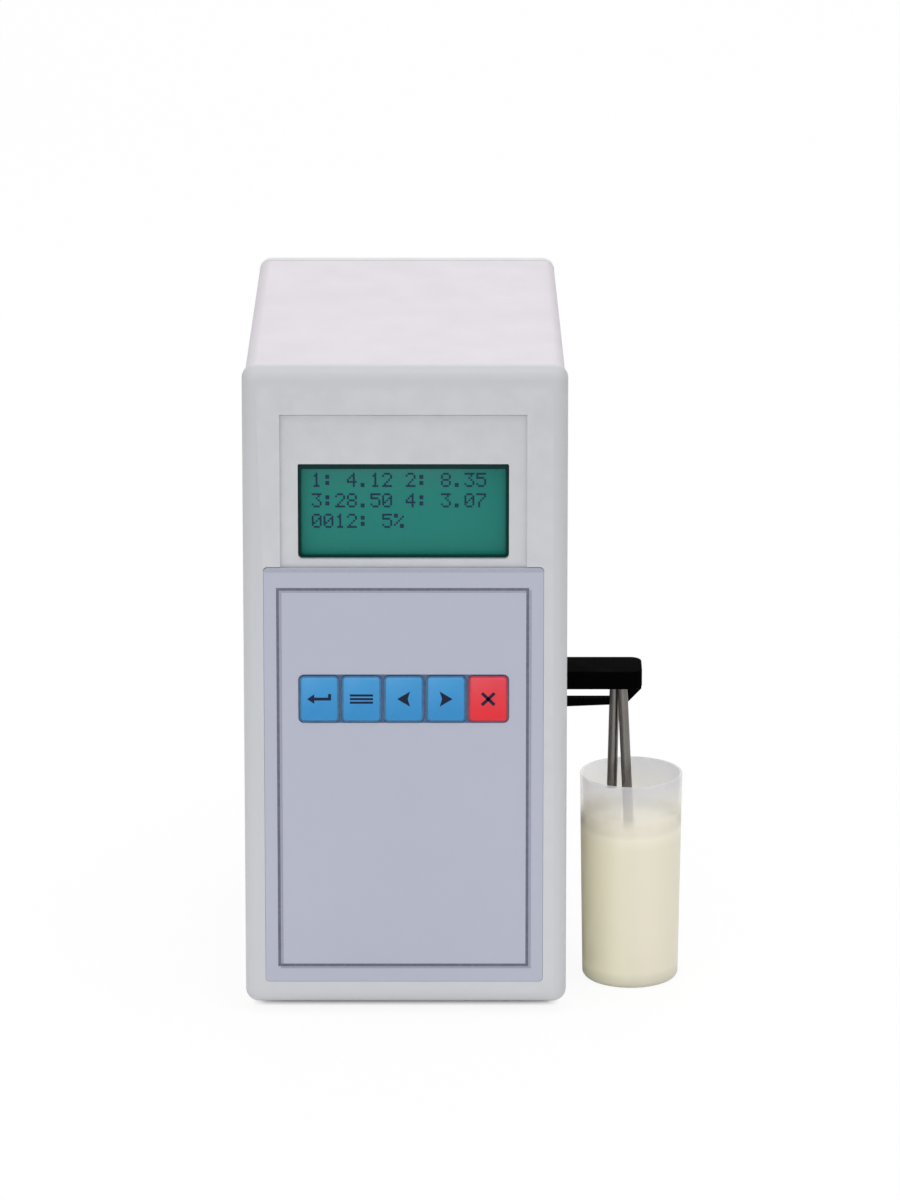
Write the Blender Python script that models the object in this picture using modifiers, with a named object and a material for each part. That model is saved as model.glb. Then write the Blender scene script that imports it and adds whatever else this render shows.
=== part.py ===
"""Bench milk analyzer with a lifting side probe and a sample cup.

Metres, +Z up, front towards -Y. Pieces are laid out from the case's own axes: x = 0 on the
middle of the front, y = 0 on the bezel's face, z = 0 on the table. The root empty then carries
them so that the origin is under the centre of the whole part.
"""

import math

import bmesh
import bpy
from mathutils import Vector

# Clearances and cuts
GAP = 0.0003              # between a piece and its seat
FIT = 0.0001              # round a pin that turns or slides in its bore
WELD = 0.00001            # points nearer than this are one
OVERRUN = 0.001           # how far a cut runs past the face that it opens
ROOT = 0.0005             # how far a boss or rib sinks into the wall that it grows from

# Case
CASE_WIDTH = 0.098
CASE_HEIGHT = 0.2048
CASE_DEPTH = 0.134
CASE_LIFT = 0.003         # underside of the bezel above the table
BEZEL_DEPTH = 0.005
BEZEL_WALL = 0.0025
BEZEL_ROUND = 0.004
SHELL_STEP = 0.0007       # shell inside the bezel's edge
SHELL_WALL = 0.0025
SHELL_ROUND = 0.004
SHELL_TAPER = 0.002       # loss of half width from front to rear
REAR_PANEL = 0.003
BOSS_RADIUS = 0.0045
BOSS_LENGTH = 0.018
BOSS_INSET = 0.0068       # screw axis in from the shell's outer faces
SCREW_RADIUS = 0.0014
SCREW_LENGTH = 0.012
SCREW_HEAD_RADIUS = 0.0029
SCREW_HEAD = 0.002
SCREW_SLOT = 0.0009
FOOT_RADIUS = 0.0070
FOOT_TIP_RADIUS = 0.0060
FOOT_DISH_RADIUS = 0.0025
FOOT_DISH = 0.001
FOOT_SIDE = 0.013         # foot's axis in from the case's side
FOOT_FRONT = 0.018
FOOT_REAR = 0.018

# Display: each size is taken from the part round it, by the margin left
FRONT_MIDDLE = -0.0005    # middle of the display, overlay and keys from the case's middle
RECESS_SIDE = 0.0118      # recess in from the case's sides
RECESS_DROP = 0.0144      # recess below the case's top
RECESS_DEPTH = 0.001
WINDOW_DROP = 0.0156      # window below the recess's top
WINDOW_SIDE = 0.0015      # window past the view's ends
WINDOW_EDGE = 0.0018      # window past the view's upper and lower edges
LCD_BOARD_SIDE = 0.0065   # board in from the case's sides
LCD_BOARD_HEIGHT = 0.060
BOARD = 0.0016
LCD_FRAME_SIDE = 0.007    # frame in from the board's ends
LCD_FRAME_EDGE = 0.0105   # frame in from the board's upper and lower edges
LCD_FRAME_DEPTH = 0.0044
LCD_FRAME_WALL = 0.001
LCD_VIEW_SIDE = 0.0052    # view in from the frame's ends
LCD_VIEW_EDGE = 0.0064    # view in from the frame's upper and lower edges
LCD_VIEW_DROP = 0.0011    # view centre below the window's centre
LCD_GLASS = 0.0022
LCD_HOLE_IN = 0.0027
LCD_BOSS_RADIUS = 0.0024

# Overlay and keys
OVERLAY_SIDE = 0.0067     # half of what the overlay leaves of the case's width
OVERLAY_RISE = 0.0074     # overlay above the bezel's underside
OVERLAY_DROP = 0.0025     # overlay below the window
OVERLAY = 0.0006
OVERLAY_ROUND = 0.001
KEY_PITCH = 0.0128
KEY_SPACE = 0.0009        # overlay left between two keys
KEY_HEIGHT = 0.0146
KEY_DROP = 0.04135        # middle of the keys below the overlay's top
KEY_ROUND = 0.0012
KEY_CAP = 0.0008
KEY_PROUD = 0.0004
KEY_TRAVEL = 0.0004
KEY_SPARE = 0.0001        # left between plunger and dome at full press
KEY_STEM_RADIUS = 0.0022
DOME_RADIUS = 0.0042
DOME_HEIGHT = 0.0007
DOME_SHEET = 0.0003
DOME_SHEET_HEIGHT = 0.012
KEY_BOARD_WIDTH = 0.070
KEY_BOARD_HEIGHT = 0.030
KEY_BOSS_RADIUS = 0.0015
KEY_BOSS_IN = 0.0025

# Chassis
SHEET = 0.0012
FLOOR_SIDE = 0.007        # floor in from the case's sides
FLOOR_FRONT = 0.014
FLOOR_CLEAR = 0.0047      # floor ahead of the screw bosses
WALL_X = -0.004           # middle of the upright wall
WALL_LENGTH = 0.065
WALL_CLEAR = 0.0013       # wall ahead of the inlet's inner end
WALL_DROP = 0.0448        # wall below the case's top
STANDOFF_RADIUS = 0.003
STANDOFF_LENGTH = 0.005
STANDOFF_IN = 0.004

# Main board
MAIN_IN = 0.0025          # board in from the wall's front and rear edges
MAIN_BOTTOM = 0.062
MAIN_DROP = 0.010         # board below the wall's top
CHIP_SIDE = 0.018
CHIP_HEIGHT = 0.0022
CHIP_IN = 0.032           # chip's middle in from the board's rear edge
CHIP_DROP = 0.040         # chip's middle below the board's top
CAPACITOR_RADIUS = 0.006
CAPACITOR_LENGTH = 0.018
CAPACITOR_IN = 0.014
CAPACITOR_RISE = 0.016    # capacitor's axis above the board's lower edge

# Ribbons
RIBBON = 0.0006
DISPLAY_RIBBON_WIDTH = 0.018
DISPLAY_RIBBON_DROP = 0.0204  # ribbon's middle below the window's middle
DISPLAY_RIBBON_X = -0.032
KEY_RIBBON_WIDTH = 0.008
KEY_RIBBON_DROP = 0.0064  # ribbon's middle below the keys' middle
KEY_RIBBON_X = -0.024
RIBBON_LAP = 0.008        # length of ribbon that lies on the main board
RIBBON_BEND = 0.004
RIBBON_TURN_SHARES = (0.35, 0.5)  # of the way back, where the ribbon turns inwards

# Transformer
CORE_STACK = 0.018
CORE_LENGTH = 0.042
CORE_HEIGHT = 0.035
CORE_LEG = 0.007          # side legs and yokes; the middle leg is twice this
CORE_BACK = 0.011         # core ahead of the wall's rear edge
COIL_WALL = 0.004         # coil standing out of the stack
COIL_CLEAR = 0.002        # coil to the upright wall

# Measuring cell
CELL_WIDTH = 0.024
CELL_LENGTH = 0.030
CELL_HEIGHT = 0.030
CELL_DROP = 0.060         # cell's underside below the wall's top
CELL_CLEAR = 0.002        # rear transducer to the hose that leaves the pump
CELL_SOUND_RADIUS = 0.005
CELL_FLOW_RADIUS = 0.0012
NIPPLE_RADIUS = 0.0025
NIPPLE_LENGTH = 0.008
TRANSDUCER_RADIUS = 0.0075
TRANSDUCER_CAP = 0.005
TRANSDUCER_PLUG = 0.004
HEATER = 0.002
HEATER_MARGIN = 0.002

# Pump
PUMP_BACK_SPACE = 0.0087  # pump to the rear panel
PUMP_Z = 0.070
MOTOR_RADIUS = 0.012
MOTOR_LENGTH = 0.022
MOTOR_SHAFT_RADIUS = 0.0015
MOTOR_SHAFT_IN = 0.007
PUMP_RADIUS = 0.018
PUMP_WALL = 0.002
PUMP_BACK = 0.0012
PUMP_COVER = 0.0018
ROTOR_PLATE = 0.0012
HUB_CLEAR = 0.002         # hub to the rollers
ROLLER_COUNT = 3
ROLLER_RADIUS = 0.0035
ROLLER_LENGTH = 0.007
ROLLER_CLEAR = 0.002      # roller's end to the rim of the housing
ROLLER_PIN_RADIUS = 0.0012
ROLLER_SQUEEZE = 0.0006   # roller to the tube that it presses
PUMP_TUBE_RADIUS = 0.0013
PUMP_TUBE_OUT = 0.008     # tube's ends above the housing

# Hoses
HOSE_RADIUS = 0.0015
HOSE_BEND = 0.006
HOSE_APART = 0.0055       # between the two hoses on the carriage
STRAIGHT_END_SHARE = 0.4  # of a route's first and last stretch

# Probe and its lift
HEAD_FRONT = 0.0283
HEAD_WIDTH = 0.016
HEAD_BOTTOM = 0.095
HEAD_HEIGHT = 0.0057
HEAD_REACH = 0.0234       # head's far end beyond the case's side
HEAD_ROUND = 0.0035
HEAD_CLEAR = 0.0005       # head to the side of the case
NECK_WIDTH = 0.0075
SLOT_SIDE = 0.0005
LIFT = 0.053
TUBE_RADIUS = 0.00155
TUBE_BORE_RADIUS = 0.0011
TUBE_BACK = 0.0049        # middle of the two tubes behind the head's front
TUBE_SOCKET = 0.0040      # depth of a tube in the head
TUBE_SPREAD = 0.0023      # between the tubes' axes at the head, sideways
TUBE_STAGGER = 0.0028     # and from front to back
RETURN_IN = 0.0083        # return tube's axis in from the head's far end
RETURN_LEAN = -0.0007     # sideways from its top to its lower end
RETURN_END_Z = 0.0615
INTAKE_LEAN = 0.0040
INTAKE_END_Z = 0.014
REST_BACK = 0.0083        # rest's front behind the head's front
REST_WIDTH = 0.0034
REST_DROP = 0.0081        # rest's underside below the head
REST_TIP_RISE = 0.0008    # low point of the tip above the rest's underside
REST_HEIGHT = 0.0026
REST_SEAT_IN = 0.0075     # start of the rise in from the head's far end
REST_SEAT_SLOPE = 0.002
REST_TIP_BACK = 0.0048    # length of the slant under the tip
REST_NOSE = 0.0005        # cut off the tip's upper corner, along x
REST_NOSE_DROP = 0.0019    # and down
TENON_WIDTH = 0.0026
TENON_HEIGHT = 0.0018
CARRIAGE_LENGTH = 0.011
CARRIAGE_WIDTH = 0.022
CARRIAGE_HEIGHT = 0.011
CARRIAGE_CLEAR = 0.002    # carriage to the inside of the case
ROD_RADIUS = 0.002
ROD_IN = 0.004            # rod's axis in from the carriage's front or rear
ROD_PAST = 0.001          # rod beyond the bracket's shelves
BRACKET_SHEET = 0.0015
BRACKET_SIDE = 0.0015     # bracket past the carriage's front and rear
BRACKET_SPINE_GAP = 0.0035
SHELF_CLEAR = 0.0065      # carriage to shelf at each end of the travel
SHELF_WALL_GAP = 0.0006

# Sample cup
CUP_SIDE = 0.00456        # rim to the side of the case
CUP_BACK = 0.00334        # cup's axis behind the middle of the tubes
CUP_HEIGHT = 0.0659
CUP_RIM_RADIUS = 0.0158
CUP_DRAFT = 0.0010        # base smaller than the rim, in radius
CUP_WALL = 0.0009
CUP_BASE_ROUND = 0.0018
CUP_FOOT = 0.0006         # hollow under the base

# Rear fittings
FLANGE = 0.002
INLET_SIDE = 0.025        # inlet's middle in from the case's left side
INLET_Z = 0.032
INLET_WIDTH = 0.0272
INLET_HEIGHT = 0.0200
INLET_LIP = 0.0020
INLET_DEPTH = 0.016       # body behind the panel's face
INLET_WALL = 0.0014
INLET_CHAMFER = 0.004
INLET_RECESS = 0.015
BLADE_WIDTH = 0.002
BLADE_HEIGHT = 0.004
BLADE_LENGTH = 0.011
BLADE_SPREAD = 0.007
BLADE_EARTH_Z = 0.001
BLADE_LINE_Z = -0.0025
SWITCH_X = 0.012
SWITCH_Z = 0.032
SWITCH_WIDTH = 0.0126
SWITCH_HEIGHT = 0.0188
SWITCH_LIP = 0.0012
SWITCH_DEPTH = 0.013
SWITCH_WALL = 0.0012
SWITCH_WELL = 0.0075
ROCKER_END = 0.0008       # rocker's end to the end of its well
ROCKER_FRONT = 0.003
ROCKER_VALLEY = 0.0018
ROCKER_BACK = 0.0025
ROCKER_PIVOT_IN = 0.0035  # pivot below the flange's face
ROCKER_TILT = math.radians(10)
FUSE_SIDE = 0.019         # fuse's axis in from the case's left side
FUSE_Z = 0.066
FUSE_RADIUS = 0.0055
FUSE_LIP = 0.0015
FUSE_DEPTH = 0.018
FUSE_BORE_RADIUS = 0.0036
FUSE_CAP_RADIUS = 0.0055
FUSE_CAP = 0.0045
FUSE_STEM = 0.012
FUSE_SLOT = 0.0012
FUSE_SLOT_DEPTH = 0.0015
PORT_X = 0.014
PORT_DROP = 0.0548        # port's middle below the case's top
PORT_FLANGE_WIDTH = 0.0308
PORT_FLANGE_HEIGHT = 0.0125
PORT_FLANGE = 0.0008
PORT_WIDTH = 0.0169
PORT_HEIGHT = 0.0083
PORT_SLANT = 0.0015
PORT_OUT = 0.0058
PORT_BODY_WIDTH = 0.0192
PORT_BODY_HEIGHT = 0.0107
PORT_DEPTH = 0.007
VENT_COUNT = 4
VENT_WIDTH = 0.044
VENT_HEIGHT = 0.003
VENT_PITCH = 0.006
VENT_DROP = 0.0368        # lowest vent below the case's top

KEY_NAMES = ["key_enter", "key_menu", "key_left", "key_right", "key_reset"]
ROUND_SIDES = 24
SMALL_SIDES = 16

# Places in the case that follow from the sizes above
CASE_SIDE = CASE_WIDTH / 2
SHELL_FRONT = BEZEL_DEPTH + GAP
SHELL_REAR = CASE_DEPTH - REAR_PANEL - GAP
SHELL_BOTTOM = CASE_LIFT + SHELL_STEP
SHELL_TOP = CASE_HEIGHT - SHELL_STEP
INNER_FLOOR = SHELL_BOTTOM + SHELL_WALL
PANEL_FACE = CASE_DEPTH + GAP
POCKET = OVERLAY + GAP

# Display and keys
LCD_BOARD_WIDTH = CASE_WIDTH - 2 * LCD_BOARD_SIDE
LCD_FRAME_WIDTH = LCD_BOARD_WIDTH - 2 * LCD_FRAME_SIDE
LCD_FRAME_HEIGHT = LCD_BOARD_HEIGHT - 2 * LCD_FRAME_EDGE
LCD_VIEW_WIDTH = LCD_FRAME_WIDTH - 2 * LCD_VIEW_SIDE
LCD_VIEW_HEIGHT = LCD_FRAME_HEIGHT - 2 * LCD_VIEW_EDGE
WINDOW_WIDTH = LCD_VIEW_WIDTH + 2 * WINDOW_SIDE
WINDOW_HEIGHT = LCD_VIEW_HEIGHT + 2 * WINDOW_EDGE
RECESS_WIDTH = CASE_WIDTH - 2 * RECESS_SIDE
RECESS_TOP = CASE_HEIGHT - RECESS_DROP
WINDOW_BOTTOM = RECESS_TOP - WINDOW_DROP - WINDOW_HEIGHT
WINDOW_MIDDLE = WINDOW_BOTTOM + WINDOW_HEIGHT / 2
LCD_VIEW_MIDDLE = WINDOW_MIDDLE - LCD_VIEW_DROP
LCD_FRAME_FRONT = BEZEL_WALL + GAP
LCD_BOARD_FRONT = LCD_FRAME_FRONT + LCD_FRAME_DEPTH + GAP
LCD_BOARD_BACK = LCD_BOARD_FRONT + BOARD
OVERLAY_WIDTH = CASE_WIDTH - 2 * OVERLAY_SIDE
OVERLAY_BOTTOM = CASE_LIFT + OVERLAY_RISE
OVERLAY_TOP = WINDOW_BOTTOM - OVERLAY_DROP
KEY_MIDDLE = OVERLAY_TOP - KEY_DROP
KEY_WIDTH = KEY_PITCH - KEY_SPACE
KEY_XS = [FRONT_MIDDLE + KEY_PITCH * (index - (len(KEY_NAMES) - 1) / 2)
          for index in range(len(KEY_NAMES))]
DOME_FRONT = BEZEL_WALL + DOME_HEIGHT
DOME_SHEET_FRONT = DOME_FRONT + DOME_HEIGHT
KEY_BOARD_FRONT = DOME_SHEET_FRONT + DOME_SHEET + GAP
KEY_BOARD_BACK = KEY_BOARD_FRONT + BOARD

# Chassis and boards
FLOOR_WIDTH = CASE_WIDTH - 2 * FLOOR_SIDE
FLOOR_REAR = SHELL_REAR - BOSS_LENGTH - FLOOR_CLEAR
FLOOR_TOP = INNER_FLOOR + GAP + SHEET
WALL_LEFT = WALL_X - SHEET / 2
WALL_RIGHT = WALL_X + SHEET / 2
WALL_REAR = PANEL_FACE - INLET_DEPTH - WALL_CLEAR
WALL_FRONT = WALL_REAR - WALL_LENGTH
WALL_TOP = CASE_HEIGHT - WALL_DROP
MAIN_RIGHT = WALL_LEFT - STANDOFF_LENGTH - GAP
MAIN_LEFT = MAIN_RIGHT - BOARD
MAIN_FRONT = WALL_FRONT + MAIN_IN
MAIN_REAR = WALL_REAR - MAIN_IN
MAIN_TOP = WALL_TOP - MAIN_DROP
COIL_HALF_WIDTH = CORE_STACK / 2 + GAP + COIL_WALL
CORE_X = WALL_LEFT - COIL_CLEAR - COIL_HALF_WIDTH
CORE_REAR = WALL_REAR - CORE_BACK

# Pump and measuring cell
PUMP_Y = SHELL_REAR - PUMP_BACK_SPACE - PUMP_RADIUS
PUMP_TRACK = PUMP_RADIUS - PUMP_WALL - GAP - PUMP_TUBE_RADIUS
ROLLER_ORBIT = PUMP_TRACK - PUMP_TUBE_RADIUS - ROLLER_SQUEEZE - ROLLER_RADIUS
ROTOR_HUB_RADIUS = ROLLER_ORBIT - ROLLER_RADIUS - HUB_CLEAR
MOTOR_LEFT = WALL_RIGHT + GAP
PUMP_LEFT = MOTOR_LEFT + MOTOR_LENGTH + GAP
ROTOR_LEFT = PUMP_LEFT + PUMP_BACK + GAP
ROLLER_LEFT = ROTOR_LEFT + ROTOR_PLATE + GAP
PUMP_RIGHT = ROLLER_LEFT + ROLLER_LENGTH + ROLLER_CLEAR
PUMP_MIDDLE = ROLLER_LEFT + ROLLER_LENGTH / 2
PUMP_TUBE_TOP = PUMP_Z + PUMP_RADIUS + PUMP_TUBE_OUT
CELL_LEFT = WALL_RIGHT + GAP
CELL_X = CELL_LEFT + CELL_WIDTH / 2
CELL_Y = PUMP_Y - PUMP_TRACK - HOSE_RADIUS - CELL_CLEAR - TRANSDUCER_CAP - CELL_LENGTH / 2
CELL_BOTTOM = WALL_TOP - CELL_DROP
CELL_TOP = CELL_BOTTOM + CELL_HEIGHT
CELL_MIDDLE = CELL_BOTTOM + CELL_HEIGHT / 2

# Probe, cup and rear fittings
HEAD_TOP = HEAD_BOTTOM + HEAD_HEIGHT
HEAD_Y = HEAD_FRONT + HEAD_WIDTH / 2
HEAD_END = CASE_SIDE + HEAD_REACH
TUBE_Y = HEAD_FRONT + TUBE_BACK
INTAKE_Y = TUBE_Y - TUBE_STAGGER / 2
RETURN_Y = TUBE_Y + TUBE_STAGGER / 2
RETURN_TOP_X = HEAD_END - RETURN_IN
INTAKE_TOP_X = RETURN_TOP_X + TUBE_SPREAD
INTAKE_SLOPE = INTAKE_LEAN / (HEAD_BOTTOM - INTAKE_END_Z)
RETURN_SLOPE = RETURN_LEAN / (HEAD_BOTTOM - RETURN_END_Z)
REST_FRONT = HEAD_FRONT + REST_BACK
REST_BOTTOM = HEAD_BOTTOM - REST_DROP
CARRIAGE_BOTTOM = (HEAD_BOTTOM + HEAD_TOP - CARRIAGE_HEIGHT) / 2
CARRIAGE_TOP = CARRIAGE_BOTTOM + CARRIAGE_HEIGHT
SHELF_LOW = CARRIAGE_BOTTOM - SHELF_CLEAR
SHELF_HIGH = CARRIAGE_TOP + LIFT + SHELF_CLEAR
CUP_X = CASE_SIDE + CUP_SIDE + CUP_RIM_RADIUS
CUP_Y = TUBE_Y + CUP_BACK
CUP_BASE_RADIUS = CUP_RIM_RADIUS - CUP_DRAFT
FITTING_FACE = PANEL_FACE + FLANGE
INLET_X = INLET_SIDE - CASE_SIDE
FUSE_X = FUSE_SIDE - CASE_SIDE
PORT_Z = CASE_HEIGHT - PORT_DROP
VENT_BOTTOM = CASE_HEIGHT - VENT_DROP
ROCKER_PIVOT = FITTING_FACE - ROCKER_PIVOT_IN
ROCKER_REACH = SWITCH_HEIGHT / 2 - SWITCH_WALL - ROCKER_END


def shell_half_width(y):
    """Half width of the shell's outside at a depth from the front."""
    share = (y - SHELL_FRONT) / (SHELL_REAR - SHELL_FRONT)
    return CASE_WIDTH / 2 - SHELL_STEP - SHELL_TAPER * share


SIDE_OUT = shell_half_width(HEAD_Y - HEAD_WIDTH / 2)
SIDE_IN = shell_half_width(HEAD_Y + HEAD_WIDTH / 2) - SHELL_WALL
CARRIAGE_RIGHT = SIDE_IN - CARRIAGE_CLEAR
CARRIAGE_LEFT = CARRIAGE_RIGHT - CARRIAGE_LENGTH
SPINE_RIGHT = CARRIAGE_LEFT - BRACKET_SPINE_GAP
ROD_X = (CARRIAGE_LEFT + CARRIAGE_RIGHT) / 2
FRONT_REACH = -KEY_PROUD
REAR_REACH = FITTING_FACE + GAP + FUSE_CAP
RIGHT_REACH = CUP_X + CUP_RIM_RADIUS
ORIGIN_X = (RIGHT_REACH - CASE_SIDE) / 2
ORIGIN_Y = (REAR_REACH + FRONT_REACH) / 2


# Scene

def clear_scene():
    for obj in list(bpy.data.objects):
        bpy.data.objects.remove(obj, do_unlink=True)


def make_collection(name):
    made = bpy.data.collections.new(name)
    bpy.context.scene.collection.children.link(made)
    return made


def make_root(name):
    root = bpy.data.objects.new(name, None)
    root.location = (-ORIGIN_X, -ORIGIN_Y, 0)
    root.empty_display_size = CASE_LIFT
    PARTS.objects.link(root)
    return root


# Materials

def linear(channel):
    return channel / 12.92 if channel <= 0.04045 else ((channel + 0.055) / 1.055) ** 2.4


def make_material(name, red, green, blue, roughness, metallic=0.0, alpha=1.0):
    """A Principled material from an sRGB colour in steps of 255."""
    made = bpy.data.materials.new(name)
    made.use_nodes = True
    shader = made.node_tree.nodes["Principled BSDF"]
    colour = [linear(value / 255) for value in (red, green, blue)]
    shader.inputs["Base Color"].default_value = (*colour, 1.0)
    shader.inputs["Roughness"].default_value = roughness
    shader.inputs["Metallic"].default_value = metallic
    shader.inputs["Alpha"].default_value = alpha
    made.diffuse_color = (*colour, alpha)
    return made


def make_materials():
    return {
        "bezel": make_material("bezel", 203, 205, 206, 0.45),
        "shell": make_material("shell", 226, 224, 226, 0.55),
        "rear": make_material("rear", 206, 206, 206, 0.5),
        "rubber": make_material("rubber", 28, 28, 28, 0.85),
        "steel": make_material("steel", 150, 148, 144, 0.3, metallic=1.0),
        "sheet": make_material("sheet", 168, 170, 172, 0.4, metallic=1.0),
        "lcd_frame": make_material("lcd_frame", 18, 20, 20, 0.4),
        "lcd_glass": make_material("lcd_glass", 40, 122, 110, 0.15),
        "board": make_material("board", 22, 84, 48, 0.5),
        "overlay": make_material("overlay", 180, 184, 202, 0.4),
        "key_blue": make_material("key_blue", 50, 145, 215, 0.4),
        "key_red": make_material("key_red", 232, 48, 68, 0.4),
        "dome": make_material("dome", 190, 186, 178, 0.35, metallic=1.0),
        "black": make_material("black", 12, 12, 12, 0.4),
        "dark": make_material("dark", 38, 38, 40, 0.55),
        "copper": make_material("copper", 176, 96, 52, 0.45, metallic=1.0),
        "core": make_material("core", 92, 94, 98, 0.45, metallic=1.0),
        "acetal": make_material("acetal", 232, 232, 226, 0.45),
        "brass": make_material("brass", 196, 160, 90, 0.35, metallic=1.0),
        "hose": make_material("hose", 214, 210, 198, 0.4),
        "ribbon": make_material("ribbon", 150, 152, 156, 0.6),
        "cup": make_material("cup", 222, 222, 220, 0.35, alpha=0.6),
    }


# Shapes: each returns a bmesh in the case's axes

def block(low, high):
    made = bmesh.new()
    add_block(made, low, high)
    return made


def add_block(made, low, high):
    size = [top - bottom for bottom, top in zip(low, high)]
    middle = [(top + bottom) / 2 for bottom, top in zip(low, high)]
    corners = bmesh.ops.create_cube(made, size=1.0)["verts"]
    bmesh.ops.scale(made, vec=size, verts=corners)
    bmesh.ops.translate(made, vec=middle, verts=corners)


def blocks(pairs):
    made = bmesh.new()
    for low, high in pairs:
        add_block(made, low, high)
    return made


def rod(start, end, radius, sides=ROUND_SIDES, end_radius=None):
    made = bmesh.new()
    add_rod(made, start, end, radius, sides, end_radius)
    return made


def add_rod(made, start, end, radius, sides=ROUND_SIDES, end_radius=None):
    """A cylinder or cone between two points."""
    start, end = Vector(start), Vector(end)
    along = end - start
    turn = along.to_track_quat("Z", "Y").to_matrix()
    far_radius = radius if end_radius is None else end_radius
    rim = bmesh.ops.create_cone(made, cap_ends=True, segments=sides, radius1=radius,
                                radius2=far_radius, depth=along.length)["verts"]
    bmesh.ops.rotate(made, cent=(0, 0, 0), matrix=turn, verts=rim)
    bmesh.ops.translate(made, vec=(start + end) / 2, verts=rim)


def rods(ends, radius, sides=ROUND_SIDES):
    made = bmesh.new()
    for start, end in ends:
        add_rod(made, start, end, radius, sides)
    return made


def prism(outline, along):
    """A closed outline of points swept along a vector."""
    made = bmesh.new()
    face = made.faces.new([made.verts.new(point) for point in outline])
    swept = bmesh.ops.extrude_face_region(made, geom=[face])["geom"]
    moved = [item for item in swept if isinstance(item, bmesh.types.BMVert)]
    bmesh.ops.translate(made, vec=along, verts=moved)
    bmesh.ops.recalc_face_normals(made, faces=made.faces)
    return made


def rounded_outline(half_width, bottom, top, radius, y, steps=4, middle=0.0):
    """Points round a rectangle in the x-z plane with round corners."""
    points = []
    corners = ((1, top, 0), (-1, top, 1), (-1, bottom, 2), (1, bottom, 3))
    for side, level, quarter in corners:
        inward = -radius if level == top else radius
        for step in range(steps + 1):
            angle = math.pi / 2 * (quarter + step / steps)
            across = side * (half_width - radius) + radius * math.cos(angle)
            points.append((middle + across, y, level + inward + radius * math.sin(angle)))
    return points


def smooth_route(route, steps=4):
    """Points on a curve through every point of the route, straight at both its ends."""
    knots = [Vector(point) for point in route]
    knots.insert(1, knots[0].lerp(knots[1], STRAIGHT_END_SHARE))
    knots.insert(-1, knots[-1].lerp(knots[-2], STRAIGHT_END_SHARE))
    knots = [knots[0] * 2 - knots[1]] + knots + [knots[-1] * 2 - knots[-2]]
    points = []
    for a, b, c, d in zip(knots, knots[1:], knots[2:], knots[3:]):
        for step in range(steps):
            t = step / steps
            points.append(b + (c - a) * (t / 2) + (a * 2 - b * 5 + c * 4 - d) * (t * t / 2)
                          + (b * 3 - a - c * 3 + d) * (t * t * t / 2))
    points.append(knots[-2])
    return points


# Objects

def place(obj, origin, parent=None):
    obj.parent = parent or BASE
    obj.location = Vector(origin)


def mesh_object(name, made, collection, origin=(0, 0, 0)):
    bmesh.ops.translate(made, vec=-Vector(origin), verts=made.verts)
    mesh = bpy.data.meshes.new(name)
    made.to_mesh(mesh)
    made.free()
    obj = bpy.data.objects.new(name, mesh)
    collection.objects.link(obj)
    place(obj, origin)
    return obj


def helper(name, made):
    """A hidden shape that is joined to a piece or cut from it."""
    obj = mesh_object(name, made, HELPERS)
    obj.hide_render = True
    obj.display_type = "WIRE"
    return obj


def combine(obj, made, operation):
    change = obj.modifiers.new(operation.lower(), "BOOLEAN")
    change.operation = operation
    change.solver = "EXACT"
    change.object = helper(f"{obj.name}_{operation.lower()}_{len(obj.modifiers)}", made)


def round_edges(obj, width, segments=2):
    bevel = obj.modifiers.new("round", "BEVEL")
    bevel.width = width
    bevel.segments = segments
    bevel.limit_method = "ANGLE"


def finish(obj, material):
    obj.data.materials.append(material)
    if obj.type == "MESH":
        obj.data.shade_smooth()
        obj.data.set_sharp_from_angle(angle=math.radians(32))
    return obj


def solid(name, material, base, joins=(), cuts=(), origin=(0, 0, 0), edge=0.0, segments=2):
    """A piece: a base shape, rounded, with shapes joined to it and then cut from it."""
    obj = mesh_object(name, base, PARTS, origin)
    if edge:
        round_edges(obj, edge, segments)
    for shape in joins:
        combine(obj, shape, "UNION")
    for shape in cuts:
        combine(obj, shape, "DIFFERENCE")
    return finish(obj, material)


def turned(name, material, profile, origin, turn=(0, 0, 0), sides=ROUND_SIDES):
    """A profile of (radius, height) pairs turned about the local z axis."""
    mesh = bpy.data.meshes.new(name)
    mesh.from_pydata([(radius, 0, height) for radius, height in profile],
                     [(index, index + 1) for index in range(len(profile) - 1)], [])
    obj = bpy.data.objects.new(name, mesh)
    PARTS.objects.link(obj)
    place(obj, origin)
    obj.rotation_euler = turn
    screw = obj.modifiers.new("turn", "SCREW")
    screw.steps = sides
    screw.render_steps = sides
    screw.use_merge_vertices = True
    screw.merge_threshold = WELD
    return finish(obj, material)


def tube(name, material, points, radius, origin=(0, 0, 0), resolution=2):
    """A round bar along points, with its ends filled."""
    curve = bpy.data.curves.new(name, "CURVE")
    curve.dimensions = "3D"
    curve.bevel_depth = radius
    curve.bevel_resolution = resolution
    curve.use_fill_caps = True
    spline = curve.splines.new("POLY")
    spline.points.add(len(points) - 1)
    for knot, point in zip(spline.points, points):
        knot.co = (*(Vector(point) - Vector(origin)), 1.0)
    obj = bpy.data.objects.new(name, curve)
    PARTS.objects.link(obj)
    place(obj, origin)
    curve.materials.append(material)
    return obj


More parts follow.
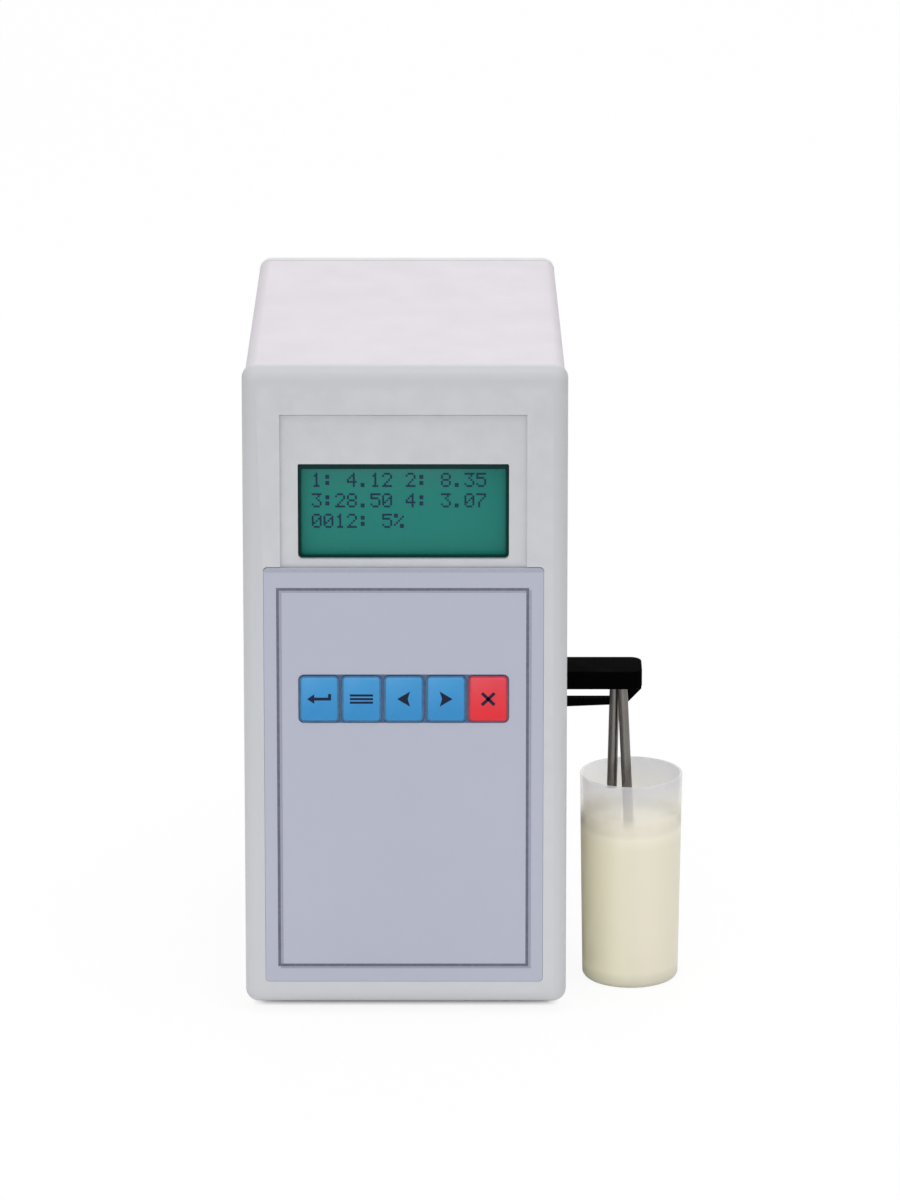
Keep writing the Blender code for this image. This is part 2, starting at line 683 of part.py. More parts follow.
def ribbon(name, material, route, middle, width):
    """A flat lead that runs along x-y points, standing on its edge."""
    made = bmesh.new()
    low = [made.verts.new((x, y, middle - width / 2)) for x, y in route]
    edges = [made.edges.new(pair) for pair in zip(low, low[1:])]
    swept = bmesh.ops.extrude_edge_only(made, edges=edges)["geom"]
    raised = [item for item in swept if isinstance(item, bmesh.types.BMVert)]
    bmesh.ops.translate(made, vec=(0, 0, width), verts=raised)
    obj = mesh_object(name, made, PARTS)
    thick = obj.modifiers.new("thickness", "SOLIDIFY")
    thick.thickness = RIBBON
    thick.offset = 0
    return finish(obj, material)


# Case pieces

def front_bezel(material):
    base = block((-CASE_SIDE, 0, CASE_LIFT), (CASE_SIDE, BEZEL_DEPTH, CASE_HEIGHT))
    rounded = [edge for edge in base.edges
               if min(vert.co.y for vert in edge.verts) < BEZEL_DEPTH / 2]
    bmesh.ops.bevel(base, geom=rounded, offset=BEZEL_ROUND, segments=4, profile=0.5,
                    affect="EDGES")
    inner = CASE_SIDE - BEZEL_WALL
    hollow = block((-inner, BEZEL_WALL, CASE_LIFT + BEZEL_WALL),
                   (inner, BEZEL_DEPTH + OVERRUN, CASE_HEIGHT - BEZEL_WALL))
    pocket_top = OVERLAY_TOP + GAP
    pocket = front_block(OVERLAY_WIDTH / 2 + GAP, -OVERRUN, POCKET, OVERLAY_BOTTOM - GAP,
                         pocket_top)
    recess = front_block(RECESS_WIDTH / 2, -OVERRUN, RECESS_DEPTH, pocket_top - ROOT, RECESS_TOP)
    window = front_block(WINDOW_WIDTH / 2, -OVERRUN, BEZEL_DEPTH, WINDOW_BOTTOM,
                         WINDOW_BOTTOM + WINDOW_HEIGHT)
    stems = rods([((x, 0, KEY_MIDDLE), (x, BEZEL_DEPTH, KEY_MIDDLE)) for x in KEY_XS],
                 KEY_STEM_RADIUS + GAP, SMALL_SIDES)
    lcd_posts = rods([((x, BEZEL_WALL - ROOT, z), (x, LCD_BOARD_FRONT - GAP, z))
                      for x, z in lcd_holes()], LCD_BOSS_RADIUS, SMALL_SIDES)
    key_posts = rods([((x, BEZEL_WALL - ROOT, z), (x, KEY_BOARD_FRONT - GAP, z))
                      for x, z in key_board_holes()], KEY_BOSS_RADIUS, SMALL_SIDES)
    obj = solid("front_bezel", material, base, cuts=[hollow, pocket, recess, window, stems])
    combine(obj, lcd_posts, "UNION")
    combine(obj, key_posts, "UNION")
    return obj


def front_block(half_width, front, back, low, high):
    """A block centred on the display and keys."""
    return block((FRONT_MIDDLE - half_width, front, low), (FRONT_MIDDLE + half_width, back, high))


def lcd_holes():
    x = LCD_BOARD_WIDTH / 2 - LCD_HOLE_IN
    z = LCD_BOARD_HEIGHT / 2 - LCD_HOLE_IN
    return [(FRONT_MIDDLE + sx * x, WINDOW_MIDDLE + sz * z) for sx in (-1, 1) for sz in (-1, 1)]


def key_board_holes():
    x = KEY_BOARD_WIDTH / 2 - KEY_BOSS_IN
    z = KEY_BOARD_HEIGHT / 2 - KEY_BOSS_IN
    return [(FRONT_MIDDLE + sx * x, KEY_MIDDLE + sz * z) for sx in (-1, 1) for sz in (-1, 1)]


def screw_places():
    x = shell_half_width(SHELL_REAR) - BOSS_INSET
    levels = (SHELL_BOTTOM + BOSS_INSET, SHELL_TOP - BOSS_INSET)
    return [(side * x, z) for z in levels for side in (-1, 1)]


def case_shell(material):
    made = bmesh.new()
    rings = []
    for y in (SHELL_FRONT, SHELL_REAR):
        points = rounded_outline(shell_half_width(y), SHELL_BOTTOM, SHELL_TOP, SHELL_ROUND, y)
        verts = [made.verts.new(point) for point in points]
        rings.append([made.edges.new(pair) for pair in zip(verts, verts[1:] + verts[:1])])
    bmesh.ops.bridge_loops(made, edges=rings[0] + rings[1])
    bmesh.ops.recalc_face_normals(made, faces=made.faces)
    outward = made.faces[:][0]
    middle = Vector((0, 0, CASE_HEIGHT / 2))
    if (outward.calc_center_median() - middle).dot(outward.normal) < 0:
        bmesh.ops.reverse_faces(made, faces=made.faces)
    obj = mesh_object("case_shell", made, PARTS)
    wall = obj.modifiers.new("wall", "SOLIDIFY")
    wall.thickness = SHELL_WALL
    wall.offset = -1
    wall.use_even_offset = True
    bosses = rods([((x, SHELL_REAR - BOSS_LENGTH, z), (x, SHELL_REAR, z))
                   for x, z in screw_places()], BOSS_RADIUS, SMALL_SIDES)
    combine(obj, bosses, "UNION")
    holes = rods([((x, SHELL_REAR - SCREW_LENGTH, z), (x, SHELL_REAR + OVERRUN, z))
                  for x, z in screw_places()], SCREW_RADIUS + GAP, SMALL_SIDES)
    combine(obj, holes, "DIFFERENCE")
    slot_half = NECK_WIDTH / 2 + SLOT_SIDE
    tenon_half = TENON_WIDTH / 2 + GAP
    tenon_y = REST_FRONT + REST_WIDTH / 2
    tenon_z = REST_BOTTOM + REST_HEIGHT / 2
    openings = blocks([
        ((SIDE_IN - OVERRUN, HEAD_Y - slot_half, HEAD_BOTTOM - SLOT_SIDE),
         (SIDE_OUT + OVERRUN, HEAD_Y + slot_half, HEAD_TOP + LIFT + SLOT_SIDE)),
        ((SIDE_IN - OVERRUN, tenon_y - tenon_half, tenon_z - TENON_HEIGHT / 2 - GAP),
         (SIDE_OUT + OVERRUN, tenon_y + tenon_half, tenon_z + TENON_HEIGHT / 2 + GAP)),
    ])
    combine(obj, openings, "DIFFERENCE")
    return finish(obj, material)


def rear_panel(material):
    outline = rounded_outline(shell_half_width(SHELL_REAR), SHELL_BOTTOM, SHELL_TOP,
                              SHELL_ROUND, CASE_DEPTH - REAR_PANEL)
    base = prism(outline, (0, REAR_PANEL, 0))
    front = CASE_DEPTH - REAR_PANEL - OVERRUN
    back = CASE_DEPTH + OVERRUN
    windows = [
        opening(INLET_X, INLET_Z, INLET_WIDTH / 2 + GAP, INLET_HEIGHT / 2 + GAP, front, back),
        opening(SWITCH_X, SWITCH_Z, SWITCH_WIDTH / 2 + GAP, SWITCH_HEIGHT / 2 + GAP, front,
                back),
        opening(PORT_X, PORT_Z, PORT_BODY_WIDTH / 2 + GAP, PORT_BODY_HEIGHT / 2 + GAP, front,
                back),
    ]
    for index in range(VENT_COUNT):
        middle = VENT_BOTTOM + VENT_PITCH * index + VENT_HEIGHT / 2
        windows.append(opening(0, middle, VENT_WIDTH / 2, VENT_HEIGHT / 2, front, back))
    holes = rods([((x, front, z), (x, back, z)) for x, z in screw_places()],
                 SCREW_RADIUS + GAP, SMALL_SIDES)
    fuse = rod((FUSE_X, front, FUSE_Z), (FUSE_X, back, FUSE_Z), FUSE_RADIUS + GAP)
    return solid("rear_panel", material, base, cuts=[blocks(windows), holes, fuse])


def opening(x, z, half_width, half_height, front, back):
    return ((x - half_width, front, z - half_height), (x + half_width, back, z + half_height))


def feet(material):
    side = CASE_SIDE - FOOT_SIDE
    rear = CASE_DEPTH - FOOT_REAR
    places = {"foot_front_left": (-side, FOOT_FRONT), "foot_rear_left": (-side, rear),
              "foot_front_right": (side, FOOT_FRONT), "foot_rear_right": (side, rear)}
    top = SHELL_BOTTOM - GAP
    profile = [(0, top), (FOOT_RADIUS, top), (FOOT_TIP_RADIUS, 0), (FOOT_DISH_RADIUS, 0),
               (FOOT_DISH_RADIUS, FOOT_DISH), (0, FOOT_DISH)]
    for name, (x, y) in places.items():
        turned(name, material, profile, (x, y, 0), sides=SMALL_SIDES)


def rear_screws(material):
    for number, (x, z) in enumerate(screw_places(), 1):
        seat = PANEL_FACE
        head = rod((x, seat, z), (x, seat + SCREW_HEAD, z), SCREW_HEAD_RADIUS, SMALL_SIDES,
                   SCREW_HEAD_RADIUS - SCREW_SLOT)
        shank = rod((x, seat - SCREW_LENGTH, z), (x, seat + ROOT, z), SCREW_RADIUS, SMALL_SIDES)
        depth = seat + SCREW_HEAD - SCREW_SLOT
        slot = block((x - SCREW_HEAD_RADIUS, depth, z - SCREW_SLOT / 2),
                     (x + SCREW_HEAD_RADIUS, seat + SCREW_HEAD + OVERRUN, z + SCREW_SLOT / 2))
        solid(f"rear_screw_{number}", material, head, [shank], [slot], (x, seat, z))


# Display

def lcd_frame(material):
    half = LCD_FRAME_WIDTH / 2
    half_height = LCD_FRAME_HEIGHT / 2
    back = LCD_FRAME_FRONT + LCD_FRAME_DEPTH
    lip = LCD_FRAME_FRONT + LCD_FRAME_WALL
    base = front_block(half, LCD_FRAME_FRONT, back, WINDOW_MIDDLE - half_height,
                       WINDOW_MIDDLE + half_height)
    inner_height = half_height - LCD_FRAME_WALL
    hollow = front_block(half - LCD_FRAME_WALL, lip, back + OVERRUN,
                         WINDOW_MIDDLE - inner_height, WINDOW_MIDDLE + inner_height)
    view = front_block(LCD_VIEW_WIDTH / 2, LCD_FRAME_FRONT - OVERRUN, back,
                       LCD_VIEW_MIDDLE - LCD_VIEW_HEIGHT / 2, LCD_VIEW_MIDDLE + LCD_VIEW_HEIGHT / 2)
    return solid("lcd_frame", material, base, cuts=[hollow, view])


def lcd_glass(material):
    half = LCD_FRAME_WIDTH / 2 - LCD_FRAME_WALL - GAP
    half_height = LCD_FRAME_HEIGHT / 2 - LCD_FRAME_WALL - GAP
    front = LCD_FRAME_FRONT + LCD_FRAME_WALL + GAP
    return solid("lcd_glass", material,
                 front_block(half, front, front + LCD_GLASS, WINDOW_MIDDLE - half_height,
                             WINDOW_MIDDLE + half_height))


def lcd_board(material):
    half_height = LCD_BOARD_HEIGHT / 2
    holes = rods([((x, LCD_BOARD_FRONT - OVERRUN, z), (x, LCD_BOARD_BACK + OVERRUN, z))
                  for x, z in lcd_holes()], SCREW_RADIUS, SMALL_SIDES)
    board = front_block(LCD_BOARD_WIDTH / 2, LCD_BOARD_FRONT, LCD_BOARD_BACK,
                        WINDOW_MIDDLE - half_height, WINDOW_MIDDLE + half_height)
    return solid("lcd_board", material, board, cuts=[holes])


# Overlay and keys

def keypad_overlay(material):
    outline = rounded_outline(OVERLAY_WIDTH / 2, OVERLAY_BOTTOM, OVERLAY_TOP, OVERLAY_ROUND, 0,
                              steps=2, middle=FRONT_MIDDLE)
    half = KEY_WIDTH / 2 + GAP
    half_height = KEY_HEIGHT / 2 + GAP
    openings = blocks([opening(x, KEY_MIDDLE, half, half_height, -OVERRUN, OVERLAY + OVERRUN)
                       for x in KEY_XS])
    return solid("keypad_overlay", material, prism(outline, (0, OVERLAY, 0)), cuts=[openings])


def keys(materials):
    bottom = KEY_MIDDLE - KEY_HEIGHT / 2
    top = KEY_MIDDLE + KEY_HEIGHT / 2
    stem_end = DOME_FRONT - KEY_TRAVEL - KEY_SPARE
    for name, x in zip(KEY_NAMES, KEY_XS):
        outline = rounded_outline(KEY_WIDTH / 2, bottom, top, KEY_ROUND, -KEY_PROUD, steps=3,
                                  middle=x)
        cap = prism(outline, (0, KEY_CAP, 0))
        stem = rod((x, KEY_CAP - KEY_PROUD - ROOT / 2, KEY_MIDDLE), (x, stem_end, KEY_MIDDLE),
                   KEY_STEM_RADIUS, SMALL_SIDES)
        colour = "key_red" if name == "key_reset" else "key_blue"
        solid(name, materials[colour], cap, [stem], origin=(x, 0, KEY_MIDDLE))


def key_dome_sheet(material):
    half = KEY_XS[-1] - FRONT_MIDDLE + DOME_RADIUS + DOME_SHEET
    half_height = DOME_SHEET_HEIGHT / 2
    sheet = front_block(half, DOME_SHEET_FRONT, DOME_SHEET_FRONT + DOME_SHEET,
                        KEY_MIDDLE - half_height, KEY_MIDDLE + half_height)
    domes = bmesh.new()
    for x in KEY_XS:
        add_rod(domes, (x, DOME_SHEET_FRONT + DOME_SHEET / 2, KEY_MIDDLE),
                (x, DOME_FRONT, KEY_MIDDLE), DOME_RADIUS, SMALL_SIDES, KEY_STEM_RADIUS)
    return solid("key_dome_sheet", material, sheet, [domes])


def keypad_board(material):
    half_height = KEY_BOARD_HEIGHT / 2
    return solid("keypad_board", material,
                 front_block(KEY_BOARD_WIDTH / 2, KEY_BOARD_FRONT, KEY_BOARD_BACK,
                             KEY_MIDDLE - half_height, KEY_MIDDLE + half_height))


# Chassis, boards and leads

def inner_chassis(material):
    floor = block((-FLOOR_WIDTH / 2, FLOOR_FRONT, INNER_FLOOR + GAP),
                  (FLOOR_WIDTH / 2, FLOOR_REAR, FLOOR_TOP))
    wall = block((WALL_LEFT, WALL_FRONT, FLOOR_TOP - SHEET / 2), (WALL_RIGHT, WALL_REAR, WALL_TOP))
    posts = rods([((WALL_LEFT + ROOT, y, z), (WALL_LEFT - STANDOFF_LENGTH, y, z))
                  for y, z in main_holes()], STANDOFF_RADIUS, SMALL_SIDES)
    return solid("inner_chassis", material, floor, [wall, posts])


def main_holes():
    return [(y, z) for y in (MAIN_FRONT + STANDOFF_IN, MAIN_REAR - STANDOFF_IN)
            for z in (MAIN_BOTTOM + STANDOFF_IN, MAIN_TOP - STANDOFF_IN)]


def main_board(material):
    return solid("main_board", material, block((MAIN_LEFT, MAIN_FRONT, MAIN_BOTTOM),
                                               (MAIN_RIGHT, MAIN_REAR, MAIN_TOP)))


def controller_chip(material):
    half = CHIP_SIDE / 2
    right = MAIN_LEFT - GAP
    middle = MAIN_REAR - CHIP_IN
    height = MAIN_TOP - CHIP_DROP
    return solid("controller_chip", material,
                 block((right - CHIP_HEIGHT, middle - half, height - half),
                       (right, middle + half, height + half)), edge=GAP, segments=1)


def filter_capacitor(material):
    right = MAIN_LEFT - GAP
    middle = MAIN_REAR - CAPACITOR_IN
    height = MAIN_BOTTOM + CAPACITOR_RISE
    return solid("filter_capacitor", material,
                 rod((right - CAPACITOR_LENGTH, middle, height), (right, middle, height),
                     CAPACITOR_RADIUS, SMALL_SIDES))


def lead_route(start_x, start_y):
    """From the back of a front board to a lap along the main board's left face."""
    lap_x = MAIN_LEFT - GAP - RIBBON / 2
    run = MAIN_FRONT - start_y
    turn_start, turn_end = (start_y + run * share for share in RIBBON_TURN_SHARES)
    return [(start_x, start_y), (start_x, turn_start), (start_x + RIBBON_BEND, turn_end),
            (lap_x - RIBBON_BEND, MAIN_FRONT - RIBBON_BEND), (lap_x, MAIN_FRONT),
            (lap_x, MAIN_FRONT + RIBBON_LAP)]


def ribbons(material):
    ribbon("display_ribbon", material, lead_route(DISPLAY_RIBBON_X, LCD_BOARD_BACK + GAP),
           WINDOW_MIDDLE - DISPLAY_RIBBON_DROP, DISPLAY_RIBBON_WIDTH)
    ribbon("keypad_ribbon", material, lead_route(KEY_RIBBON_X, KEY_BOARD_BACK + GAP),
           KEY_MIDDLE - KEY_RIBBON_DROP, KEY_RIBBON_WIDTH)


def transformer(materials):
    bottom = FLOOR_TOP + GAP
    middle_y = CORE_REAR - CORE_LENGTH / 2
    half_stack = CORE_STACK / 2
    core = block((CORE_X - half_stack, CORE_REAR - CORE_LENGTH, bottom),
                 (CORE_X + half_stack, CORE_REAR, bottom + CORE_HEIGHT))
    window_width = CORE_LENGTH / 2 - 2 * CORE_LEG
    low, high = bottom + CORE_LEG, bottom + CORE_HEIGHT - CORE_LEG
    windows = []
    for side in (-1, 1):
        near, far = sorted((middle_y + side * CORE_LEG,
                            middle_y + side * (CORE_LEG + window_width)))
        windows.append(((CORE_X - half_stack - OVERRUN, near, low),
                        (CORE_X + half_stack + OVERRUN, far, high)))
    solid("transformer_core", materials["core"], core, cuts=[blocks(windows)])
    outer_y = CORE_LEG + window_width - GAP
    coil = block((CORE_X - COIL_HALF_WIDTH, middle_y - outer_y, low + GAP),
                 (CORE_X + COIL_HALF_WIDTH, middle_y + outer_y, high - GAP))
    leg = block((CORE_X - half_stack - GAP, middle_y - CORE_LEG - GAP, low - OVERRUN),
                (CORE_X + half_stack + GAP, middle_y + CORE_LEG + GAP, high + OVERRUN))
    upright = [edge for edge in coil.edges
               if abs(edge.verts[0].co.z - edge.verts[1].co.z) > COIL_WALL]
    bmesh.ops.bevel(coil, geom=upright, offset=COIL_WALL, segments=3, profile=0.5,
                    affect="EDGES")
    solid("transformer_coil", materials["copper"], coil, cuts=[leg])


# Measuring cell

def measuring_cell(material):
    front, rear = CELL_Y - CELL_LENGTH / 2, CELL_Y + CELL_LENGTH / 2
    base = block((CELL_LEFT, front, CELL_BOTTOM), (CELL_LEFT + CELL_WIDTH, rear, CELL_TOP))
    levels = [(CELL_BOTTOM - NIPPLE_LENGTH, CELL_BOTTOM + ROOT),
              (CELL_TOP - ROOT, CELL_TOP + NIPPLE_LENGTH)]
    nipples = rods([((CELL_X, CELL_Y, low), (CELL_X, CELL_Y, high)) for low, high in levels],
                   NIPPLE_RADIUS, SMALL_SIDES)
    sound = rod((CELL_X, front - OVERRUN, CELL_MIDDLE), (CELL_X, rear + OVERRUN, CELL_MIDDLE),
                CELL_SOUND_RADIUS)
    flow = rod((CELL_X, CELL_Y, CELL_BOTTOM - NIPPLE_LENGTH - OVERRUN),
               (CELL_X, CELL_Y, CELL_TOP + NIPPLE_LENGTH + OVERRUN), CELL_FLOW_RADIUS, SMALL_SIDES)
    return solid("measuring_cell", material, base, [nipples], [sound, flow])


def transducers(material):
    plug = CELL_SOUND_RADIUS - GAP
    profile = [(0, TRANSDUCER_CAP), (TRANSDUCER_RADIUS, TRANSDUCER_CAP), (TRANSDUCER_RADIUS, GAP),
               (plug, GAP), (plug, -TRANSDUCER_PLUG), (0, -TRANSDUCER_PLUG)]
    for name, side in (("transducer_front", -1), ("transducer_rear", 1)):
        place = (CELL_X, CELL_Y + side * CELL_LENGTH / 2, CELL_MIDDLE)
        turned(name, material, profile, place, (-side * math.pi / 2, 0, 0))


def heater_plate(material):
    left = CELL_LEFT + CELL_WIDTH + GAP
    half = CELL_LENGTH / 2 - HEATER_MARGIN
    return solid("heater_plate", material,
                 block((left, CELL_Y - half, CELL_BOTTOM + HEATER_MARGIN),
                       (left + HEATER, CELL_Y + half, CELL_TOP - HEATER_MARGIN)))


# Pump: everything turns about the x axis through PUMP_Y, PUMP_Z

def pump_point(x, radius=0.0, angle=0.0):
    return (x, PUMP_Y + radius * math.sin(angle), PUMP_Z + radius * math.cos(angle))


def pump_motor(material):
    right = MOTOR_LEFT + MOTOR_LENGTH
    bore = rod(pump_point(right - MOTOR_SHAFT_IN - GAP), pump_point(right + OVERRUN),
               MOTOR_SHAFT_RADIUS + GAP, SMALL_SIDES)
    return solid("pump_motor", material,
                 rod(pump_point(MOTOR_LEFT), pump_point(right), MOTOR_RADIUS), cuts=[bore])


def pump_housing(material):
    base = rod(pump_point(PUMP_LEFT), pump_point(PUMP_RIGHT), PUMP_RADIUS, 2 * SMALL_SIDES)
    cavity = rod(pump_point(PUMP_LEFT + PUMP_BACK), pump_point(PUMP_RIGHT + OVERRUN),
                 PUMP_RADIUS - PUMP_WALL, 2 * SMALL_SIDES)
    shaft = rod(pump_point(PUMP_LEFT - OVERRUN), pump_point(PUMP_RIGHT),
                MOTOR_SHAFT_RADIUS + GAP, SMALL_SIDES)
    reach = PUMP_TUBE_RADIUS + GAP
    mouths = blocks([((PUMP_MIDDLE - reach, PUMP_Y + side * PUMP_TRACK - reach, PUMP_Z),
                      (PUMP_RIGHT + OVERRUN, PUMP_Y + side * PUMP_TRACK + reach,
                       PUMP_Z + PUMP_RADIUS + OVERRUN)) for side in (-1, 1)])
    return solid("pump_housing", material, base, cuts=[cavity, shaft, mouths])


def pump_cover(material):
    left = PUMP_RIGHT + GAP
    disc = rod(pump_point(left), pump_point(left + PUMP_COVER), PUMP_RADIUS, 2 * SMALL_SIDES)
    return solid("pump_cover", material, disc)


def roller_angles():
    return [math.pi + 2 * math.pi * index / ROLLER_COUNT for index in range(ROLLER_COUNT)]


def pump_rotor(material):
    centre = pump_point(ROTOR_LEFT)
    plate_right = ROTOR_LEFT + ROTOR_PLATE
    end = ROLLER_LEFT + ROLLER_LENGTH
    plate = rod(centre, pump_point(plate_right), ROLLER_ORBIT + ROLLER_RADIUS - GAP)
    shaft = rod(pump_point(MOTOR_LEFT + MOTOR_LENGTH - MOTOR_SHAFT_IN),
                pump_point(ROTOR_LEFT + ROOT), MOTOR_SHAFT_RADIUS, SMALL_SIDES)
    hub = rod(pump_point(plate_right - ROOT), pump_point(end), ROTOR_HUB_RADIUS, SMALL_SIDES)
    pins = rods([(pump_point(plate_right - ROOT, ROLLER_ORBIT, angle),
                  pump_point(end, ROLLER_ORBIT, angle)) for angle in roller_angles()],
                ROLLER_PIN_RADIUS, SMALL_SIDES)
    return solid("pump_rotor", material, plate, [shaft, hub, pins], origin=centre)


def pump_rollers(material):
    for number, angle in enumerate(roller_angles(), 1):
        start = pump_point(ROLLER_LEFT, ROLLER_ORBIT, angle)
        end = pump_point(ROLLER_LEFT + ROLLER_LENGTH, ROLLER_ORBIT, angle)
        bore = rod(pump_point(ROLLER_LEFT - OVERRUN, ROLLER_ORBIT, angle),
                   pump_point(ROLLER_LEFT + ROLLER_LENGTH + OVERRUN, ROLLER_ORBIT, angle),
                   ROLLER_PIN_RADIUS + FIT, SMALL_SIDES)
        solid(f"pump_roller_{number}", material, rod(start, end, ROLLER_RADIUS, SMALL_SIDES),
              cuts=[bore], origin=start)


def pump_tube(material):
    """Down into the pump, round under the rollers and up again."""
    steps = SMALL_SIDES
    points = [(PUMP_MIDDLE, PUMP_Y - PUMP_TRACK, PUMP_TUBE_TOP)]
    for step in range(steps + 1):
        points.append(pump_point(PUMP_MIDDLE, PUMP_TRACK, -math.pi / 2 - math.pi * step / steps))
    points.append((PUMP_MIDDLE, PUMP_Y + PUMP_TRACK, PUMP_TUBE_TOP))
    return tube("pump_tube", material, points, PUMP_TUBE_RADIUS)


# Hoses: each route is a list of places chosen by hand between its two ends

def hoses(material):
    port_y = HEAD_Y + CARRIAGE_WIDTH / 2 + GAP
    port_z = (CARRIAGE_BOTTOM + CARRIAGE_TOP) / 2
    behind = port_y + HOSE_BEND
    tube_end = PUMP_TUBE_TOP + GAP
    pump_front, pump_rear = PUMP_Y - PUMP_TRACK, PUMP_Y + PUMP_TRACK
    intake_hose(material, ROD_X - HOSE_APART / 2, port_y, port_z, behind)
    return_x = ROD_X + HOSE_APART / 2
    tube("return_hose", material, smooth_route([
        (return_x, port_y, port_z),
        (return_x, behind, port_z),
        (ROD_X, (behind + pump_front) / 2, tube_end + HOSE_BEND),
        (PUMP_MIDDLE + HOSE_BEND, pump_front - HOSE_BEND / 2, tube_end + 2 * HOSE_BEND),
        (PUMP_MIDDLE, pump_front, tube_end + HOSE_BEND),
        (PUMP_MIDDLE, pump_front, tube_end),
    ]), HOSE_RADIUS)
    cell_low = CELL_BOTTOM - NIPPLE_LENGTH - GAP
    over_motor = PUMP_Z + MOTOR_RADIUS + HOSE_BEND
    tube("cell_hose", material, smooth_route([
        (CELL_X, CELL_Y, cell_low),
        (CELL_X, CELL_Y, cell_low - HOSE_BEND),
        (CELL_X + HOSE_BEND / 2, PUMP_Y - HOSE_BEND, over_motor),
        (CELL_X + HOSE_BEND, PUMP_Y + HOSE_BEND, over_motor + HOSE_BEND),
        (PUMP_MIDDLE - HOSE_BEND, pump_rear, tube_end + 2 * HOSE_BEND),
        (PUMP_MIDDLE, pump_rear, tube_end + HOSE_BEND),
        (PUMP_MIDDLE, pump_rear, tube_end),
    ]), HOSE_RADIUS)


def intake_hose(material, port_x, port_y, port_z, behind):
    """Up behind the lift bracket and over to the cell's upper nipple."""
    right = CELL_LEFT + CELL_WIDTH + HEATER + HOSE_BEND
    high = CELL_TOP + NIPPLE_LENGTH + GAP
    tube("intake_hose", material, smooth_route([
        (port_x, port_y, port_z),
        (port_x, behind, port_z),
        (right + HOSE_BEND, behind, CELL_MIDDLE),
        (right, behind, CELL_TOP + HOSE_BEND),
        (CELL_X + 2 * HOSE_BEND, CELL_Y, high + 2 * HOSE_BEND),
        (CELL_X, CELL_Y, high + HOSE_BEND),
        (CELL_X, CELL_Y, high),
    ]), HOSE_RADIUS)


# Probe, its carriage and its lift

def intake_point(z):
    return (INTAKE_TOP_X + INTAKE_SLOPE * (HEAD_BOTTOM - z), INTAKE_Y, z)


def return_point(z):
    return (RETURN_TOP_X + RETURN_SLOPE * (HEAD_BOTTOM - z), RETURN_Y, z)


def probe_origin():
    return (ROD_X, HEAD_Y, CARRIAGE_BOTTOM)


def probe_head(material):
    left = SIDE_OUT + HEAD_CLEAR
    base = block((left, HEAD_FRONT, HEAD_BOTTOM), (HEAD_END, HEAD_FRONT + HEAD_WIDTH, HEAD_TOP))
    far = [edge for edge in base.edges
           if min(vert.co.x for vert in edge.verts) > HEAD_END - ROOT
           and abs(edge.verts[0].co.z - edge.verts[1].co.z) > ROOT]
    bmesh.ops.bevel(base, geom=far, offset=HEAD_ROUND, segments=5, profile=0.5, affect="EDGES")
    neck = block((CARRIAGE_RIGHT + GAP, HEAD_Y - NECK_WIDTH / 2, HEAD_BOTTOM),
                 (left + ROOT, HEAD_Y + NECK_WIDTH / 2, HEAD_TOP - ROOT))
    top = HEAD_BOTTOM + TUBE_SOCKET + GAP
    sockets = [rod(point(HEAD_BOTTOM - OVERRUN), point(top), TUBE_RADIUS + FIT, SMALL_SIDES)
               for point in (intake_point, return_point)]
    return solid("probe_head", material, base, [neck], sockets, probe_origin())


def probe_tubes(material):
    top = HEAD_BOTTOM + TUBE_SOCKET
    for name, point, low in (("intake_tube", intake_point, INTAKE_END_Z),
                             ("return_tube", return_point, RETURN_END_Z)):
        bore = rod(point(low - OVERRUN), point(top + OVERRUN), TUBE_BORE_RADIUS, SMALL_SIDES)
        solid(name, material, rod(point(low), point(top), TUBE_RADIUS, SMALL_SIDES),
              cuts=[bore], origin=probe_origin())


def probe_rest(material):
    left = SIDE_OUT + GAP
    low, high = REST_BOTTOM, REST_BOTTOM + REST_HEIGHT
    seat = HEAD_BOTTOM - GAP
    rise = HEAD_END - REST_SEAT_IN
    side = [(left, low), (left, high), (rise, high), (rise + REST_SEAT_SLOPE, seat),
            (HEAD_END - REST_NOSE, seat), (HEAD_END, seat - REST_NOSE_DROP),
            (HEAD_END - REST_TIP_BACK, low + REST_TIP_RISE)]
    outline = [(x, REST_FRONT, z) for x, z in side]
    tenon_y = REST_FRONT + REST_WIDTH / 2
    tenon_z = (low + high) / 2
    tenon = block((SIDE_IN - OVERRUN, tenon_y - TENON_WIDTH / 2, tenon_z - TENON_HEIGHT / 2),
                  (left + ROOT, tenon_y + TENON_WIDTH / 2, tenon_z + TENON_HEIGHT / 2))
    return solid("probe_rest", material, prism(outline, (0, REST_WIDTH, 0)), [tenon])


def rod_ys():
    reach = CARRIAGE_WIDTH / 2 - ROD_IN
    return (HEAD_Y - reach, HEAD_Y + reach)


def probe_carriage(material):
    half = CARRIAGE_WIDTH / 2
    bores = rods([((ROD_X, y, CARRIAGE_BOTTOM - OVERRUN), (ROD_X, y, CARRIAGE_TOP + OVERRUN))
                  for y in rod_ys()], ROD_RADIUS + FIT, SMALL_SIDES)
    return solid("probe_carriage", material,
                 block((CARRIAGE_LEFT, HEAD_Y - half, CARRIAGE_BOTTOM),
                       (CARRIAGE_RIGHT, HEAD_Y + half, CARRIAGE_TOP)),
                 cuts=[bores], origin=probe_origin())


def guide_rods(material):
    low = SHELF_LOW - BRACKET_SHEET - ROD_PAST
    high = SHELF_HIGH + BRACKET_SHEET + ROD_PAST
    for name, y in zip(("guide_rod_front", "guide_rod_rear"), rod_ys()):
        solid(name, material, rod((ROD_X, y, low), (ROD_X, y, high), ROD_RADIUS, SMALL_SIDES))


